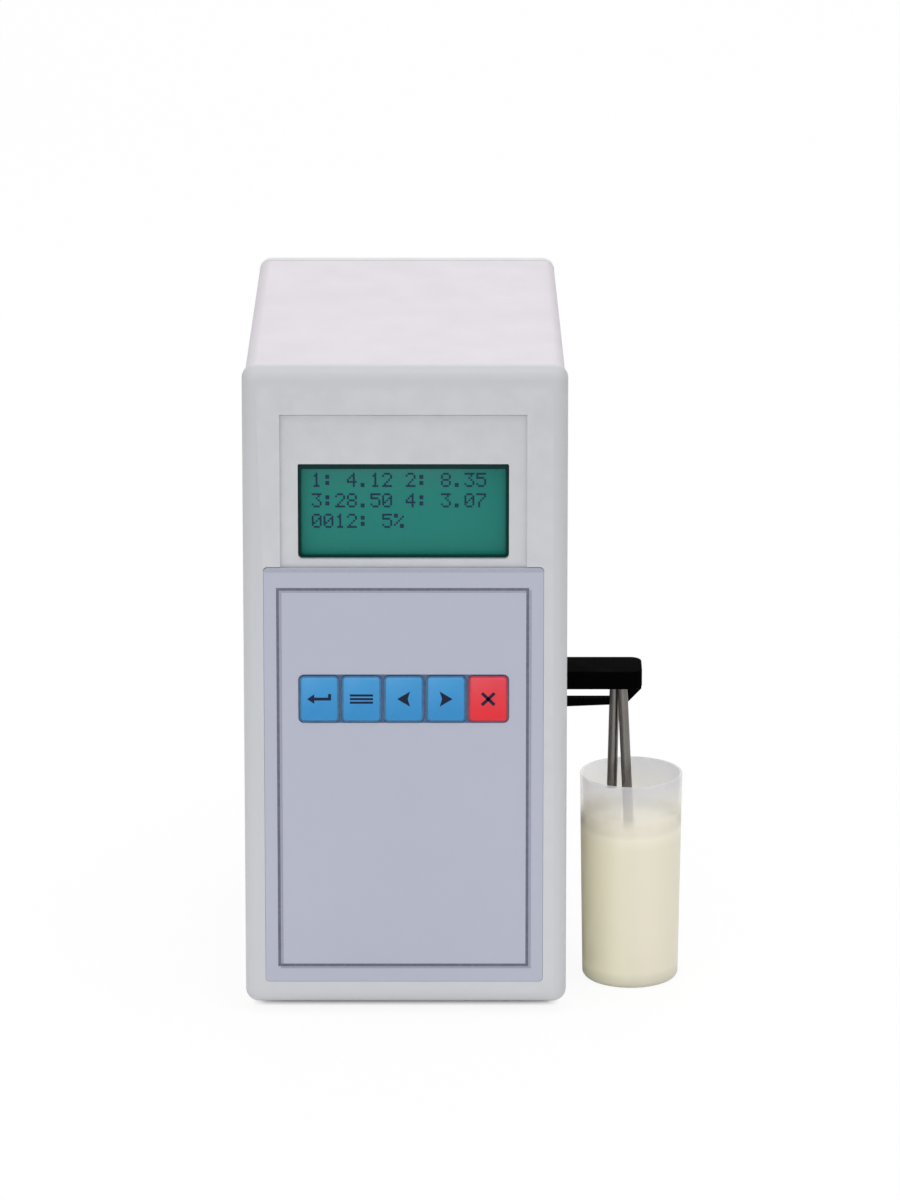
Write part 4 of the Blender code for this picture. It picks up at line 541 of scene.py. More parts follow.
# each lamp's place, size and watts
lamps = {
    "key": ((-0.1, -2.4, 0.2), 1.2, 12.0),
    "top": ((0.1, -0.35, 1.9), 1.4, 17.0),
    "fill": ((-1.4, -1.7, 0.6), 1.2, 4.0),
    "rear": ((0.2, 2.0, 1.4), 1.4, 8.0),
}
lampAim = Vector((0, 0, 0.1))
worldStrength = 0.65  # for light that isn't seen directly
floor = Sizes(
    half=4.0, tones=((0.9, 0.9, 0.9, 1), (0.92, 0.92, 0.92, 1)),
    white=0.91,  # share of pure white that the camera sees
    shade=0.85,  # share taken off under the case
    shadeSide=(0.006, 0.002),  # in from the case's sides
    shadeFront=(0.007, 0.0115), shadeRear=(0.05, 0.06))


def makeCamera():
    near, far = camera.clip
    data = setAll(bpy.data.cameras.new("photoCamera"), lens=camera.lens,
                  sensor_width=camera.sensor, clip_start=near, clip_end=far)
    bpy.context.scene.camera = setAll(linked("photoCamera", data), location=camera.place,
                                      rotation_euler=(math.radians(camera.tilt), 0, 0))


def makeLights():
    for name, (place, size, watts) in lamps.items():
        data = setAll(bpy.data.lights.new(name + "Light", "AREA"), shape="SQUARE", size=size,
                      energy=watts)
        aim = (lampAim - Vector(place)).to_track_quat("-Z", "Y").to_euler()
        setAll(linked(name + "Light", data), location=place, rotation_euler=aim)
    world = bpy.data.worlds.new("studio")
    world.use_nodes = True
    bpy.context.scene.world = world
    tree = world.node_tree
    path = addNode(tree, "LightPath")
    seen = path["Is Camera Ray"]
    for kind in ("Is Glossy Ray", "Is Transmission Ray"):
        seen = addNode(tree, "Math", {0: seen, 1: path[kind]}, operation="MAXIMUM")[0]
    level = addNode(tree, "MapRange", {
        "Value": seen, "To Min": worldStrength, "To Max": 1.0})["Result"]
    setInputs(tree.nodes["Background"], {"Color": (1, 1, 1, 1), "Strength": level})


def makeFloor():
    bm = bmesh.new()
    bmesh.ops.create_grid(bm, x_segments=8, y_segments=8, size=floor.half)
    mesh = meshFrom("floor", bm)
    made = Finish("paleFloor")
    made.surface(made.mix(made.patches(3.0), *floor.tones), 0.7, Specular_IOR_Level=0.2)
    glow = made.add("Emission", {"Strength": 1.0})[0]
    # white for the camera, but the floor under the case keeps its own shade
    half = (caseHigh.x - caseLow.x) / 2
    offset = made.maths("ABSOLUTE", made.maths("SUBTRACT", made.axis("X"), caseMiddle))
    beside = made.ramp(offset, 1.0, 0.0, *(half - share for share in floor.shadeSide))
    behind = made.along("Y", *(caseLow.y + share for share in floor.shadeFront))
    under = made.times(made.times(beside, behind), made.along("Y", *floor.shadeRear, 1.0, 0.0))
    white = made.maths("SUBTRACT", floor.white, made.times(under, floor.shade))
    share = made.times(made.add("LightPath")["Is Camera Ray"], white)
    both = made.add("MixShader", {0: share, 1: made.shader.outputs[0], 2: glow})[0]
    setInputs(made.tree.nodes["Material Output"], {"Surface": both})
    mesh.materials.append(made.material)
    linked("floor", mesh)


makeCamera()
makeLights()
makeFloor()
bpy.context.scene.view_settings.view_transform = "Standard"
print("camera, light and floor ready")


# Case

frontFrame = Sizes(
    depth=5.0, wall=2.5, rounding=4.0, pocketDepth=0.9, pocketCorner=1.2,
    pocketGap=0.06,  # beside and below the label
    grooveHeight=0.3,  # above the label
    grooveLap=3.0, grooveDepth=0.5,
    recessHalf=37.2, recessTop=190.4, recessLap=2.0, recessDepth=1.0,
    recessLine=0.4,  # fine groove round the recess, also this deep
    windowHalf=31.8, windowLow=145.0, windowHigh=174.8, windowCorner=1.5,
    windowTopCorner=0.5, stemHole=2.5, stemDepth=4.0, edge=0.22)
frontMiddle = -0.5  # middle of the display, label and keys
keyNames = ["key_enter", "key_menu", "key_left", "key_right", "key_reset"]
keySizes = Sizes(
    pitch=12.8, middle=101.15, rim=0.55, slope=0.25, slopeRise=0.07,
    lip=0.1,  # how far the rim lies behind the key's front
    corner=1.4, back=0.4, stem=2.2, stemStart=0.2, markDepth=0.06)
keyPlaces = [frontMiddle + keySizes.pitch * (index - 2) for index in range(len(keyNames))]


def makeFrontFrame(look=frontFrame):
    low, high = caseBox("front_bezel")
    labelLow, labelHigh = caseBox("keypad_overlay")
    body = boxed(low, (high.x, look.depth, high.z))
    front = [edge for edge in body.edges if min(vert.co.y for vert in edge.verts) < look.depth / 2]
    bevelEdges(body, front, look.rounding, 10)
    gap, line, top = look.pocketGap, look.recessLine, look.recessTop
    window = boxed(*span(frontMiddle, look.windowHalf, look.windowLow,
                         look.windowHigh, -past, look.depth))
    for level, radius in ((look.windowLow, look.windowCorner),
                          (look.windowHigh, look.windowTopCorner)):
        corners = [edge for edge in edgesAlong(window, 1) if abs(edge.verts[0].co.z - level) < 0.1]
        bevelEdges(window, corners, radius, 6)
    cutters = [
        boxed(*around(low, high, -look.wall, look.wall, look.depth + past)),
        rounded(*around(labelLow, labelHigh, gap, -past, look.pocketDepth), look.pocketCorner),
        rounded((labelLow.x - gap, -past, labelHigh.z - look.grooveLap),
                (labelHigh.x + gap, look.grooveDepth, labelHigh.z + look.grooveHeight),
                look.pocketCorner),
        boxed(*span(frontMiddle, look.recessHalf, labelHigh.z - look.recessLap, top,
                    -past, look.recessDepth)),
        boxed(*span(frontMiddle, look.recessHalf, top - line, top, look.recessDepth / 2,
                    look.recessDepth + line)),
        window,
        *(rod(x, keySizes.middle, -past, look.stemDepth, look.stemHole)
          for x in keyPlaces)]
    addPiece("frontFrame", carve(body, *cutters), "bezel", "front_bezel", edge=look.edge)


sleeve = Sizes(
    wall=2.5, rounding=4.0, innerRounding=1.8,
    taper=2.0,  # on each side, over the whole depth
    cut=(8.0, 3.0),  # how far the arm's openings reach in and out from the side
    neckHalf=3.75, gap=0.5, lift=53.0, slotCorner=0.8, tenonHalf=1.6,
    tenon=(0.1, 2.5),  # its opening's heights above the rest's underside
    edge=0.3)


def makeSleeve(look=sleeve):
    low, high = caseBox("case_shell")
    body = rounded(low, high, look.rounding, 10)
    inner = rounded(*around(low, high, -look.wall, low.y - past, high.y + past),
                    look.innerRounding)
    for shape in (body, inner):
        for vert in shape.verts:
            share = (vert.co.y - low.y) / (high.y - low.y)
            vert.co.x -= math.copysign(look.taper * share, vert.co.x)
    sides = (high.x - look.cut[0], high.x + look.cut[1])
    low, high = caseBox("probe_head")
    slot = rounded(*sideways(*sides, middleOf(low, high).y, look.neckHalf + look.gap,
                             low.z - look.gap, high.z + look.lift + look.gap),
                   look.slotCorner, 4, axis=0)
    low, high = caseBox("probe_rest")
    tenon = boxed(*sideways(*sides, middleOf(low, high).y, look.tenonHalf,
                            *(low.z + level for level in look.tenon)))
    addPiece("caseSleeve", carve(body, inner, slot, tenon), "shell", "case_shell", edge=look.edge)


screw = Sizes(
    slot=0.9, slotDepth=0.9, slotHalf=4.0, dome=2.0,
    # radius, and height above the seat
    outline=[(0, -12.0), (1.4, -12.0), (1.4, 0), (2.9, 0), (2.9, 0.7), (2.6, 1.3),
             (2.0, 1.75), (1.1, 1.96), (0, 2.0)],
    edge=0.08)
screwIndices = range(1, 5)
rearPanel = Sizes(
    rounding=4.0, vents=4, ventHalf=22.0, ventHeight=3.0, ventCorner=1.49, ventPitch=6.0,
    ventLow=168.0,
    # middle across and up, half the width and half the height: inlet, switch and port
    openings=[(-24, 32, 13.9, 10.3), (12, 32, 6.6, 9.7), (14, 150, 9.9, 5.65)],
    fuseHole=(-30, 66, 5.8), screwHole=1.7, edge=0.3)


def makeRearPanel(look=rearPanel):
    low, high = caseBox("rear_panel")
    depth = (low.y - past, high.y + past)
    cutters = []
    for index in range(look.vents):
        bottom = look.ventLow + look.ventPitch * index
        cutters.append(rounded(*span(0, look.ventHalf, bottom, bottom + look.ventHeight, *depth),
                               look.ventCorner))
    cutters += [boxed(*about(*opening, *depth)) for opening in look.openings]
    x, z, radius = look.fuseHole
    cutters.append(rod(x, z, *depth, radius))
    for index in screwIndices:
        place = middleOf(*caseBox(f"rear_screw_{index}"))
        cutters.append(rod(place.x, place.z, *depth, look.screwHole))
    addPiece("rearPanel", carve(rounded(low, high, look.rounding, 10), *cutters), "rear",
             "rear_panel", edge=look.edge)


# radius and height: the upper part from the foot's top, the lower part from the table
foot = Sizes(
    upper=[(0, 0), (6.7, 0), (7.0, -0.3), (6.9, -1.2)],
    lower=[(6.2, 0.7), (5.9, 0.2), (5.5, 0), (2.7, 0), (2.5, 0.2), (2.4, 1.0), (0, 1.0)])


def makeFeet():
    for name in ("foot_front_left", "foot_front_right", "foot_rear_left", "foot_rear_right"):
        low, high = caseBox(name)
        outline = [(radius, high.z + up) for radius, up in foot.upper] + foot.lower
        body = turned(outline, (*middleOf(low, high).xy, 0))
        addPiece(name.replace("_", "") + "Pad", body, "rubber", name)


def makeScrews():
    for index in screwIndices:
        low, high = caseBox(f"rear_screw_{index}")
        place = middleOf(low, high)
        head = turned(screw.outline, (place.x, high.y - screw.dome, place.z), (0, 1, 0))
        cutter = boxed(*about(place.x, place.z, screw.slotHalf, screw.slot / 2,
                              high.y - screw.slotDepth, high.y + past))
        addPiece(f"rearScrew{index}", carve(head, cutter), "steel", f"rear_screw_{index}",
                 edge=screw.edge)


makeFrontFrame()
makeSleeve()
makeRearPanel()
makeFeet()
makeScrews()
print("case ready")


# Display

display = Sizes(
    wall=1.0, frameCorner=1.0, frameEdge=0.2, viewHalf=30.9, viewLow=145.6, viewHigh=172.7,
    viewCorner=0.5, glassEdge=0.12,
    firstColumn=-28.15,  # left edge of the first character
    firstRow=171.2,  # upper edge of the first row
    columnPitch=3.54, rowPitch=6.42, dotPitch=(0.6, 0.64), dot=(0.57, 0.61),
    dotDepth=(-0.04, 0.05),  # from the glass's face
    lines=["1: 4.12 2: 8.35", "3:28.50 4: 3.07", "0012: 5%"])
# 5 by 7 dots a character, one number a row, from the top; the highest bit is the left dot
dotRows = {
    "0": (14, 17, 19, 21, 25, 17, 14), "1": (4, 12, 4, 4, 4, 4, 14),
    "2": (14, 17, 1, 2, 4, 8, 31), "3": (31, 2, 4, 2, 1, 17, 14),
    "4": (2, 6, 10, 18, 31, 2, 2), "5": (31, 16, 30, 1, 1, 17, 14),
    "7": (31, 1, 2, 4, 8, 8, 8), "8": (14, 17, 17, 14, 17, 17, 14),
    ".": (0, 0, 0, 0, 0, 12, 12), ":": (0, 12, 12, 0, 12, 12, 0), "%": (24, 25, 2, 4, 8, 19, 3),
}


def makeDisplay(look=display):
    low, high = caseBox("lcd_frame")
    hollow = boxed(*around(low, high, -look.wall, low.y + look.wall, high.y + past))
    view = rounded(*span(frontMiddle, look.viewHalf, look.viewLow, look.viewHigh, low.y - past,
                         high.y), look.viewCorner, 4)
    addPiece("displayFrame", carve(rounded(low, high, look.frameCorner), hollow, view),
             "lcd_frame", "lcd_frame", edge=look.frameEdge)
    low, high = caseBox("lcd_glass")
    glass = boxed(low, high)
    bevelEdges(glass, glass.edges, look.glassEdge, 2)
    addPiece("displayGlass", glass, "lcd_glass", "lcd_glass")
    dots = bmesh.new()
    width, height = look.dot
    near, far = (low.y + depth for depth in look.dotDepth)
    for row, line in enumerate(look.lines):
        for column, character in enumerate(line):
            for down, bits in enumerate(dotRows.get(character, ())):
                for across in range(5):
                    if bits >> (4 - across) & 1:
                        x = (look.firstColumn + look.columnPitch * column
                             + look.dotPitch[0] * across)
                        z = look.firstRow - look.rowPitch * row - look.dotPitch[1] * down
                        addBox(dots, (x, near, z - height), (x + width, far, z))
    addPiece("displayDots", dots, "dots", slot="lcd_glass")


makeDisplay()
print("display ready")


# Label and keys

label = Sizes(
    corner=1.2, edge=0.08, lineMiddle=-0.8, lineHalf=38.2, lineLow=15.3, lineHigh=136.2,
    lineWidth=0.85, lineProud=0.03,
    shade=(0.8, -0.7),  # how far the line's shade lies to the right and up
    band=1.3, bandIn=0.15,
    inkDepth=0.1,  # how far printed pieces reach into the label
    keyGap=0.2, keyBorder=0.2, holeCorner=1.5, borderCorner=1.7)


def keyHoles(near, far):
    low, high = caseBox("key_enter")
    gap = label.keyGap
    return [rounded(*span(x, (high.x - low.x) / 2 + gap, low.z - gap, high.z + gap, near, far),
                    label.holeCorner) for x in keyPlaces]


def makeLabel(look=label):
    low, high = caseBox("keypad_overlay")
    body = carve(rounded(low, high, look.corner), *keyHoles(low.y - past, high.y + past))
    addPiece("keypadLabel", body, "overlay", "keypad_overlay", edge=look.edge)
    proud, deep, width = look.lineProud, look.inkDepth, look.lineWidth
    for name, finish, rise, right, up in (
            ("labelLine", "frameLine", proud, 0, 0),
            ("labelShade", "frameShade", proud / 2, *look.shade)):
        middle = look.lineMiddle + right
        bottom, top = look.lineLow + up, look.lineHigh + up
        line = boxed(*span(middle, look.lineHalf, bottom, top, -rise, deep))
        inside = boxed(*span(middle, look.lineHalf - width, bottom + width, top - width,
                             -past, past))
        addPiece(name, carve(line, inside), finish, slot="overlay", edge=0.005)
    # painted shadow: a darker band along the label's top edge, under the pocket's upper step
    inset = look.bandIn
    band = rounded((low.x + inset, -proud / 2, high.z - inset - look.band),
                   (high.x - inset, deep, high.z - inset), look.band / 2 - 0.05)
    addPiece("labelBand", band, "bandInk", slot="overlay")
    firstLow, firstHigh = caseBox("key_enter")
    grow = look.keyGap + look.keyBorder
    reach = (firstHigh.x - firstLow.x) / 2 + grow
    border = rounded((keyPlaces[0] - reach, -proud, firstLow.z - grow),
                     (keyPlaces[-1] + reach, deep, firstHigh.z + grow), look.borderCorner)
    addPiece("keyBorder", carve(border, *keyHoles(-past, past)), "keyLine", slot="overlay",
             edge=0.01)


def blockOutline(left, bottom, right, top):
    return [(left, bottom), (right, bottom), (right, top), (left, top)]


# the dark mark in the middle of each key, as closed outlines across and up
markOutlines = {
    "key_enter": [[(-3.7, 0), (-1.5, 1.5), (-1.5, -1.5)], blockOutline(-1.55, -0.45, 3.6, 0.45),
                  blockOutline(2.7, 0.4, 3.6, 1.6)],
    "key_menu": [blockOutline(-3.5, level - 0.33, 3.5, level + 0.33)
                 for level in (-1.15, 0.0, 1.15)],
    "key_left": [[(-2.0, 0), (1.9, 2.4), (1.2, 0), (1.9, -2.4)]],
    "key_right": [[(2.0, 0), (-1.9, 2.4), (-1.2, 0), (-1.9, -2.4)]],
    "key_reset": [[(-2.24, -1.56 * turn), (-1.56, -2.24 * turn), (2.24, 1.56 * turn),
                   (1.56, 2.24 * turn)] for turn in (-1, 1)],
}


def makeKeys(look=keySizes):
    level = look.middle
    for name, x in zip(keyNames, keyPlaces):
        low, high = caseBox(name)
        cap = rounded((low.x, low.y + look.lip, low.z), (high.x, look.back, high.z), look.corner)
        front = min(cap.faces, key=lambda face: face.calc_center_median().y)
        for width in (look.rim, look.slope):
            bmesh.ops.inset_region(cap, faces=[front], thickness=width, depth=0)
        bmesh.ops.translate(cap, vec=(0, -look.slopeRise, 0), verts=front.verts)
        stem = rod(x, level, look.stemStart, high.y, look.stem)
        for face in stem.faces:
            face.material_index = 1
        # the pad and its slope take the key's colour, the rest that of the rim
        inside = [(b - a) / 2 - look.rim - 0.01 for a, b in zip(low, high)]
        for face in cap.faces:
            middle = face.calc_center_median()
            onPad = face is front or (face.normal.y < -0.3 and abs(middle.x - x) < inside[0]
                                      and abs(middle.z - level) < inside[2])
            face.material_index = 0 if onPad else 1
        colour, rim = ("key_red", "redRim") if name == "key_reset" else ("key_blue", "blueRim")
        plain = name.title().replace("_", "")
        addPiece(plain + "Cap", merge(cap, stem), [colour, rim], name, colour, name, sharp=50)
        marks = [slab([(x + right, level + up) for right, up in outline], low.y,
                      low.y + look.markDepth) for outline in markOutlines[name]]
        addPiece(plain + "Mark", merge(*marks), "icon", slot=colour, body=name)


makeLabel()
makeKeys()
print("label and keys ready")


# Probe

probe = Sizes(
    endRounding=3.5, edge=0.5,
    neckEnd=48.43,  # where the arm widens, just outside the case
    neckHalf=3.75, neckDrop=0.5, tube=1.55, bore=1.1, tubeChamfer=0.12, headLow=95.0,
    inHead=0.2,  # how far the tubes reach into the arm
)
# across at the arm's underside, place in depth, and shift across for a step down
tubeLines = {"intake": (66.4, 31.8, 0.0493827), "return": (64.1, 34.6, -0.0208955)}
rest = Sizes(
    left=48.23, tenonHalf=1.3,
    tenon=(0.4, 2.2),  # heights above the rest's underside
    # across from its right end, and up from its underside (0) or its top (1)
    outline=[(-7.5, 2.6, 0), (-5.5, 0, 1), (-0.5, 0, 1), (0, -1.9, 1), (-4.8, 0.8, 0)],
    thickness=2.6, edge=0.35)


def makeProbeHead(look=probe):
    low, high = caseBox("probe_head")
    head = boxed((look.neckEnd, low.y, low.z), high)
    far = [edge for edge in edgesAlong(head, 2) if edge.verts[0].co.x > high.x - past]
    bevelEdges(head, far, look.endRounding, 12)
    neck = boxed(*sideways(low.x, look.neckEnd + past, middleOf(low, high).y, look.neckHalf,
                           low.z, high.z - look.neckDrop))
    addPiece("probeArm", united(head, neck), "black", "probe_head", body="probe", edge=look.edge,
             segments=4)


def makeTubes():
    outer, bore = probe.tube, probe.bore
    for kind, (topX, y, slope) in tubeLines.items():
        bottom = caseBox(kind + "_tube")[0].z
        start, end = (Vector((topX + slope * (probe.headLow - z), y, z))
                      for z in (bottom + 0.05, probe.headLow + probe.inHead))
        length, chamfer = (end - start).length, probe.tubeChamfer
        wall = [(bore, 0), (bore + 0.1, 0), (outer - chamfer, 0), (outer, chamfer),
                (outer, length), (bore, length)]
        addPiece(kind + "Tube", turned(wall, start, end - start, 32), "steel", kind + "_tube",
                 body="probe")


def makeRest(look=rest):
    low, high = caseBox("probe_rest")
    levels = (low.z, high.z)
    side = [(look.left, low.z), (look.left, low.z + look.thickness)]
    side += [(high.x + right, levels[top] + up) for right, up, top in look.outline]
    tenon = boxed(*sideways(low.x, look.left + past, middleOf(low, high).y, look.tenonHalf,
                            *(low.z + level for level in look.tenon)))
    addPiece("probeRest", united(slab(side, low.y, high.y), tenon), "black", "probe_rest",
             edge=look.edge, segments=3)


makeProbeHead()
makeTubes()
makeRest()
print("probe ready")


# Cup and milk

cup = Sizes(
    rim=15.8, base=14.8, wall=0.9, baseRound=1.8, innerRound=1.6, foot=0.6,
    # the lip's shape: in from the outer edge, and down from the top
    lip=[(0.12, 0.1), (0, 0.35), (0.02, 1.4)], milkTop=49.7, meniscus=0.5,
    milkGap=0.04,  # between the milk and the wall
)


def makeCupPiece(look=cup):
    low, high = caseBox("sample_cup")
    centre = (*middleOf(low, high).xy, 0)
    rim, base, wall, tall = look.rim, look.base, look.wall, high.z
    innerRim, innerBase, bottom = rim - wall, base - wall, look.foot + wall
    bend, outerBend = look.innerRound, look.baseRound
    edge = base - outerBend
    profile = [(0, bottom), *arc(innerBase - bend, bottom + bend, bend, -90, 0, 6),
               (innerRim, tall - 0.35), (innerRim + 0.12, tall - 0.1), (rim - wall / 2, tall),
               *((rim - inward, tall - down) for inward, down in look.lip),
               *arc(edge, outerBend, outerBend, 0, -90, 6),
               (edge - wall, 0), (edge - 2 * wall, look.foot), (0, look.foot)]
    addPiece("sampleCup", turned(profile, centre, steps=96), "cup", "sample_cup", body="cup")

    def inner(z):
        share = (z - bottom) / (tall - bottom)
        return innerBase + (innerRim - innerBase) * share - look.milkGap

    level, rise = look.milkTop, look.meniscus
    milk = [(0, bottom + 0.03), (innerBase - 1.7, bottom + 0.03),
            *arc(innerBase - bend - look.milkGap, bottom + bend + 0.03, bend, -90, 0, 5)[1:],
            (inner(level + rise), level + rise), (inner(level) - 0.25, level + rise * 0.45),
            (inner(level) - 0.8, level + rise * 0.14), (inner(level) - 1.8, level), (0, level)]
    addPiece("milkFill", turned(milk, centre, steps=96), "milk", slot="", body="cup", sharp=60)


makeCupPiece()
print("cup and milk ready")


# Rear fittings

inlet = Sizes(
    x=-24.0, z=32.0, half=13.6, halfUp=10.0, corner=2.2, wall=1.4, recess=15.0, chamfer=4.0,
    socketCorner=0.8, blades=[(0, 1), (-7, -2.5), (7, -2.5)],
    blade=(1.0, 2.0),  # half its thickness and half its width
    bladeReach=11.0, bladeTip=0.7)
switch = Sizes(x=12.0, z=32.0, half=6.3, halfUp=9.4, corner=1.2, wall=1.2, well=7.5)
flangeDepth = 2.0


def panelFitting(name, node, look, cutter):
    # a flange on the panel and the body behind it, with a hollow in its face
    low, high = caseBox(node)
    flange = rounded((low.x, high.y - flangeDepth, low.z), high, look.corner)
    body = boxed(*about(look.x, look.z, look.half, look.halfUp, low.y, high.y - past))
    addPiece(name, carve(united(flange, body), cutter), "fitting", node, "black", edge=0.25,
             segments=3)


def makeInlet(look=inlet):
    x, z, face = look.x, look.z, caseBox("power_inlet")[1].y
    floorY, chamfer = face - look.recess, look.chamfer
    half, halfUp = look.half - look.wall, look.halfUp - look.wall
    outline = [(-half, halfUp), (-half, chamfer - halfUp), (chamfer - half, -halfUp),
               (half - chamfer, -halfUp), (half, chamfer - halfUp), (half, halfUp)]
    socket = slab([(x + dx, z + dz) for dx, dz in outline], floorY, face + past)
    bevelEdges(socket, edgesAlong(socket, 1), look.socketCorner, 4)
    panelFitting("powerInlet", "power_inlet", look, socket)
    blades = []
    for dx, dz in look.blades:
        blade = boxed(*about(x + dx, z + dz, *look.blade, floorY - 0.5, floorY + look.bladeReach))
        tip = [edge for edge in blade.edges
               if min(vert.co.y for vert in edge.verts) > floorY + look.bladeReach - past]
        bevelEdges(blade, tip, look.bladeTip, 3)
        blades.append(blade)
    addPiece("inletBlades", merge(*blades), "port", slot="steel")


def makeSwitch():
    look, face = switch, caseBox("power_switch")[1].y
    well = boxed(*about(look.x, look.z, look.half - look.wall, look.halfUp - look.wall,
                        face - look.well, face + past))
    panelFitting("powerSwitch", "power_switch", look, well)


rocker = Sizes(
    pivot=132.8, tilt=math.radians(10), reach=7.4,
    # how far the ends, the middle and the back lie from the pivot
    front=3.0, valley=1.8, back=2.5,
    bar=(3.0, 5.6), barHalf=0.3, barProud=0.02,
    ring=-4.3, ringProud=0.06, ringWall=(0.85, 1.35), markDepth=0.4, edge=0.3)


def rockerPoint(up, out, x):
    across, along = math.sin(rocker.tilt), math.cos(rocker.tilt)
    return Vector((x, rocker.pivot + out * along - up * across,
                   switch.z + up * along + out * across))


def rockerFace(up):
    share = up / rocker.reach
    return rocker.valley + (rocker.front - rocker.valley) * share ** 2


def makeRocker(look=rocker):
    low, high = caseBox("power_rocker")
    reach, valley, back = look.reach, look.valley, look.back
    ups = [reach - reach * step / 4 for step in range(9)]
    side = [(up, rockerFace(up)) for up in ups]
    side += [(valley - reach, -back / 2), (0, -back), (reach - valley, -back / 2)]
    body = prism([rockerPoint(up, out, low.x) for up, out in side], (high.x - low.x, 0, 0))
    addPiece("powerRocker", body, "dark", "power_rocker", body="rocker", edge=look.edge,
             segments=3)
    x, deep = middleOf(low, high).x, look.markDepth
    ends = [(up, rockerFace(up) + look.barProud) for up in look.bar]
    outline = [rockerPoint(*end, x - look.barHalf) for end in ends]
    outline += [rockerPoint(*end, x + look.barHalf) for end in ends[::-1]]
    bar = prism(outline, rockerPoint(0, -deep, 0) - rockerPoint(0, 0, 0))
    ringUp, (bore, rim) = look.ring, look.ringWall
    tip, root = (rockerPoint(ringUp + step, rockerFace(ringUp + step), x) for step in (-1, 1))
    out = rockerPoint(0, 1, x) - rockerPoint(0, 0, x)
    normal = (tip - root).cross(out).cross(tip - root)
    ring = turned([(bore, -deep), (rim, -deep), (rim, 0), (bore, 0)],
                  rockerPoint(ringUp, rockerFace(ringUp) + look.ringProud, x), normal, 32)
    addPiece("rockerMarks", merge(bar, ring), "rockerMark", slot="dark", body="rocker")


fuse = Sizes(
    x=-30.0, z=66.0, body=5.5,
    # the collar and its bore: radius, and distance from the front face
    collar=[(5.5, -2), (7.0, -2), (7.0, -0.5), (6.6, -0.1), (6.3, 0), (3.6, 0),
            (3.6, -12.3), (0, -12.3)],
    cap=5.5, capHeight=4.5, capTaper=0.93, ribs=36, ribDepth=0.22, stem=3.3, slot=1.2,
    slotDepth=1.5, slotHalf=6.0, edge=0.12)


def makeFuse(look=fuse):
    x, z = look.x, look.z
    low, high = caseBox("fuse_holder")
    outline = [(0, low.y), (look.body, low.y)]
    outline += [(radius, high.y + out) for radius, out in look.collar]
    addPiece("fuseHolder", turned(outline, (x, 0, z), (0, 1, 0)), "fitting", "fuse_holder",
             "black")
    low, high = caseBox("fuse_cap")
    seat = high.y - look.capHeight
    knob = bmesh.new()
    rimVerts = bmesh.ops.create_circle(knob, cap_ends=True, segments=look.ribs * 4,
                                       radius=look.cap)["verts"]
    for index, vert in enumerate(rimVerts):
        if index % 4 in (0, 1):
            vert.co *= 1 - look.ribDepth / look.cap
    raised = extrude(knob, list(knob.faces), (0, 0, look.capHeight))
    bmesh.ops.scale(knob, vec=(look.capTaper, look.capTaper, 1), verts=raised)
    stood(closed(knob), (x, seat, z), (0, 1, 0))
    slot = boxed(*about(x, z, look.slot / 2, look.slotHalf,
                        high.y - look.slotDepth, high.y + past))
    body = carve(united(knob, rod(x, z, low.y, seat + 0.5, look.stem)), slot)
    addPiece("fuseCap", body, "dark", "fuse_cap", body="fuse_cap", edge=look.edge)


port = Sizes(
    x=14.0, z=150.0, half=8.45, halfUp=4.15, slant=1.5, wall=0.5,
    bodyHalf=9.6, bodyHalfUp=5.35,
    collar=5.8,  # height above the plate's back
    plate=0.8, plateCorner=1.6,
    pins=((5, 1.42), (4, -1.42)),  # how many, and how far up
    pinPitch=2.77, pin=[(0, 0), (0.5, 0), (0.5, 3.4), (0.35, 3.75), (0, 3.85)], postApart=12.5,
    post=2.85, postHeight=4.4, postBore=1.35)


def portBlock(grow, near, far, rounding):
    half, halfUp, slant = port.half + grow, port.halfUp + grow, port.slant
    side = [(-half, halfUp), (slant - half, -halfUp), (half - slant, -halfUp), (half, halfUp)]
    block = slab([(port.x + x, port.z + z) for x, z in side], near, far)
    bevelEdges(block, edgesAlong(block, 1), rounding, 6)
    return block


def makePort(look=port):
    x, z, wall = look.x, look.z, look.wall
    low, high = caseBox("serial_port")
    back = high.y - look.collar
    face = back + look.plate
    middle = back + look.plate / 2
    plate = rounded((low.x, back, low.z), (high.x, face, high.z), look.plateCorner)
    body = boxed(*about(x, z, look.bodyHalf, look.bodyHalfUp, low.y, middle))
    shell = carve(united(plate, body, portBlock(0, middle, high.y, 1.6)),
                  portBlock(-wall, back + 1.5, back + 11.5, 1.2))
    addPiece("serialPort", shell, "port", "serial_port", edge=0.15)
    addPiece("portInsulator", portBlock(-wall - 0.05, back + 1.45, back + 1.95, 1.1), "dark",
             slot="port", edge=0.05)
    pins = [turned(look.pin, (x + look.pinPitch * (index - (count - 1) / 2), back + 1.6,
                              z + rise), (0, 1, 0), 16)
            for count, rise in look.pins for index in range(count)]
    addPiece("portPins", merge(*pins), "brass", slot="port")
    posts = []
    for side in (-look.postApart, look.postApart):
        post = bmesh.new()
        bmesh.ops.create_cone(post, cap_ends=True, segments=6, radius1=look.post,
                              radius2=look.post, depth=look.postHeight)
        stood(post, (x + side, face + look.postHeight / 2, z), (0, 1, 0))
        posts.append(carve(post, rod(x + side, z, face + 1, face + 6, look.postBore)))
    addPiece("portPosts", merge(*posts), "port", edge=0.2)


makeInlet()
makeSwitch()
makeRocker()
makeFuse()
makePort()
print("rear fittings ready")


# Hoses inside the case, along the routes that the CAD solids take

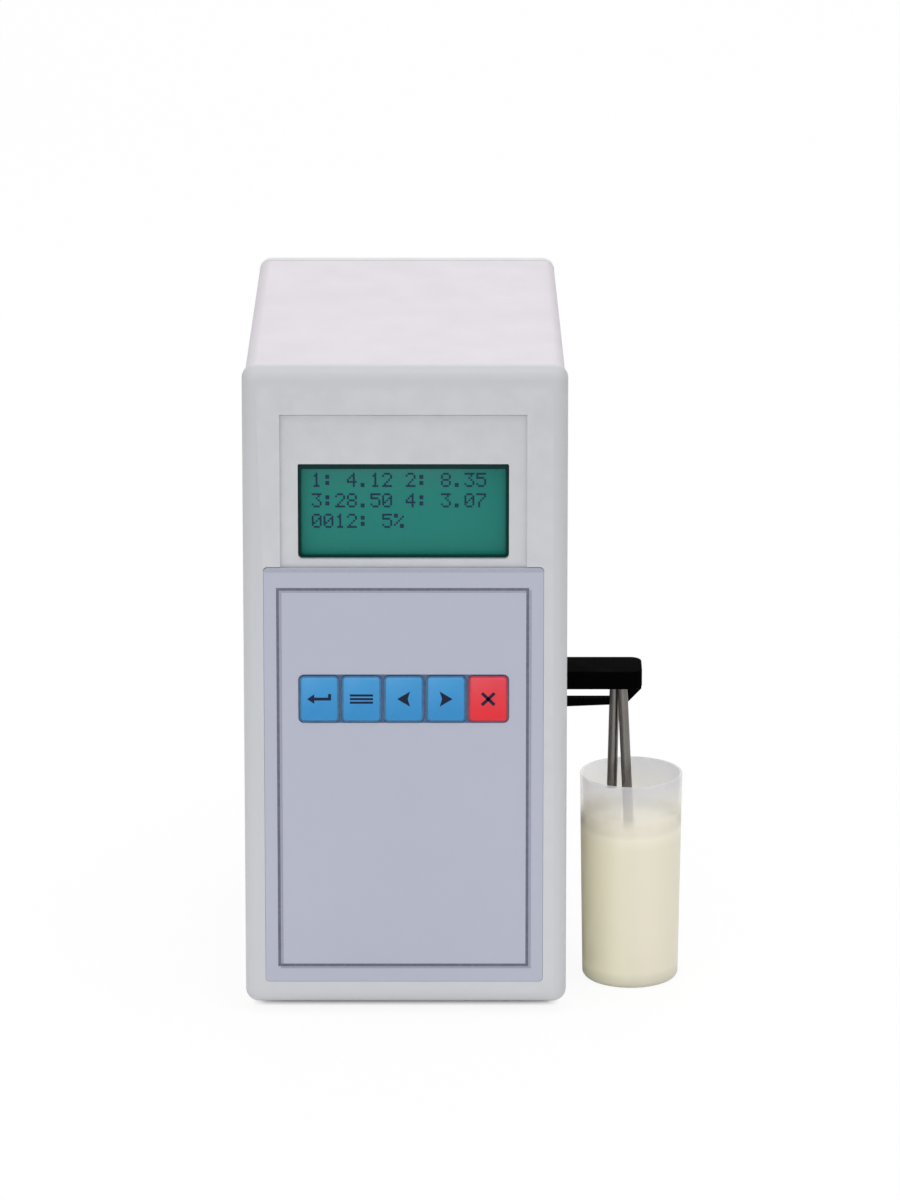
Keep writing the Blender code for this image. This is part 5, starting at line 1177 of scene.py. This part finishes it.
hoses = {
    "return_hose": [(40.428, 47.6, 97.85), (40.428, 53.6, 97.85), (37.678, 71.6, 102.3),
                    (31.7, 86.6, 108.3), (25.7, 89.6, 102.3), (25.7, 89.6, 96.3)],
    "cell_hose": [(8.9, 66.1, 91.7), (8.9, 66.1, 85.7), (11.9, 98.0, 88.0),
                  (14.9, 110.0, 94.0), (19.7, 118.4, 108.3), (25.7, 118.4, 102.3),
                  (25.7, 118.4, 96.3)],
    "intake_hose": [(34.928, 47.6, 97.85), (34.928, 53.6, 97.85), (34.9, 53.6, 115.0),
                    (28.9, 53.6, 136.0), (20.9, 66.1, 150.3), (8.9, 66.1, 144.3),
                    (8.9, 66.1, 138.3)],
}
hoseRadius = 1.5
pumpTube = Sizes(x=25.7, y=104.0, z=70.0, track=14.4, top=96.0, radius=1.3)


def makeHoses():
    for name, route in hoses.items():
        moving = name != "cell_hose"
        obj = addPiece(name.replace("_h", "H"), hoseMesh(hosePoints(route), hoseRadius), "hose",
                       name, body=None if moving else "case")
        if moving:
            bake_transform(obj)
    look = pumpTube
    x, y, track = look.x, look.y, look.track
    points = [(x, y - track, look.top),
              *((x, along, up) for along, up in arc(y, look.z, track, 180, 360, 24)),
              (x, y + track, look.top)]
    addPiece("pumpTubing", hoseMesh(points, look.radius), "hose", "pump_tube")


makeHoses()
print("hoses ready")

# Pieces inside the case keep their CAD shape and take a finish
insideFinishes = {
    "board": "lcd_board keypad_board main_board",
    "dome": "key_dome_sheet",
    "sheet": "inner_chassis lift_bracket pump_motor",
    "steel": "guide_rod_front guide_rod_rear pump_roller_1 pump_roller_2 pump_roller_3",
    "dark": "controller_chip filter_capacitor pump_housing",
    "ribbon": "display_ribbon keypad_ribbon",
    "core": "transformer_core",
    "copper": "transformer_coil heater_plate",
    "cell": "measuring_cell",
    "brass": "transducer_front transducer_rear",
    "acetal": "pump_cover pump_rotor probe_carriage",
}
for finish, names in insideFinishes.items():
    for name in names.split():
        for slot in nodes[name].material_slots:
            slot.material = finishes[finish]
print("inside pieces ready")

bpy.context.view_layer.update()
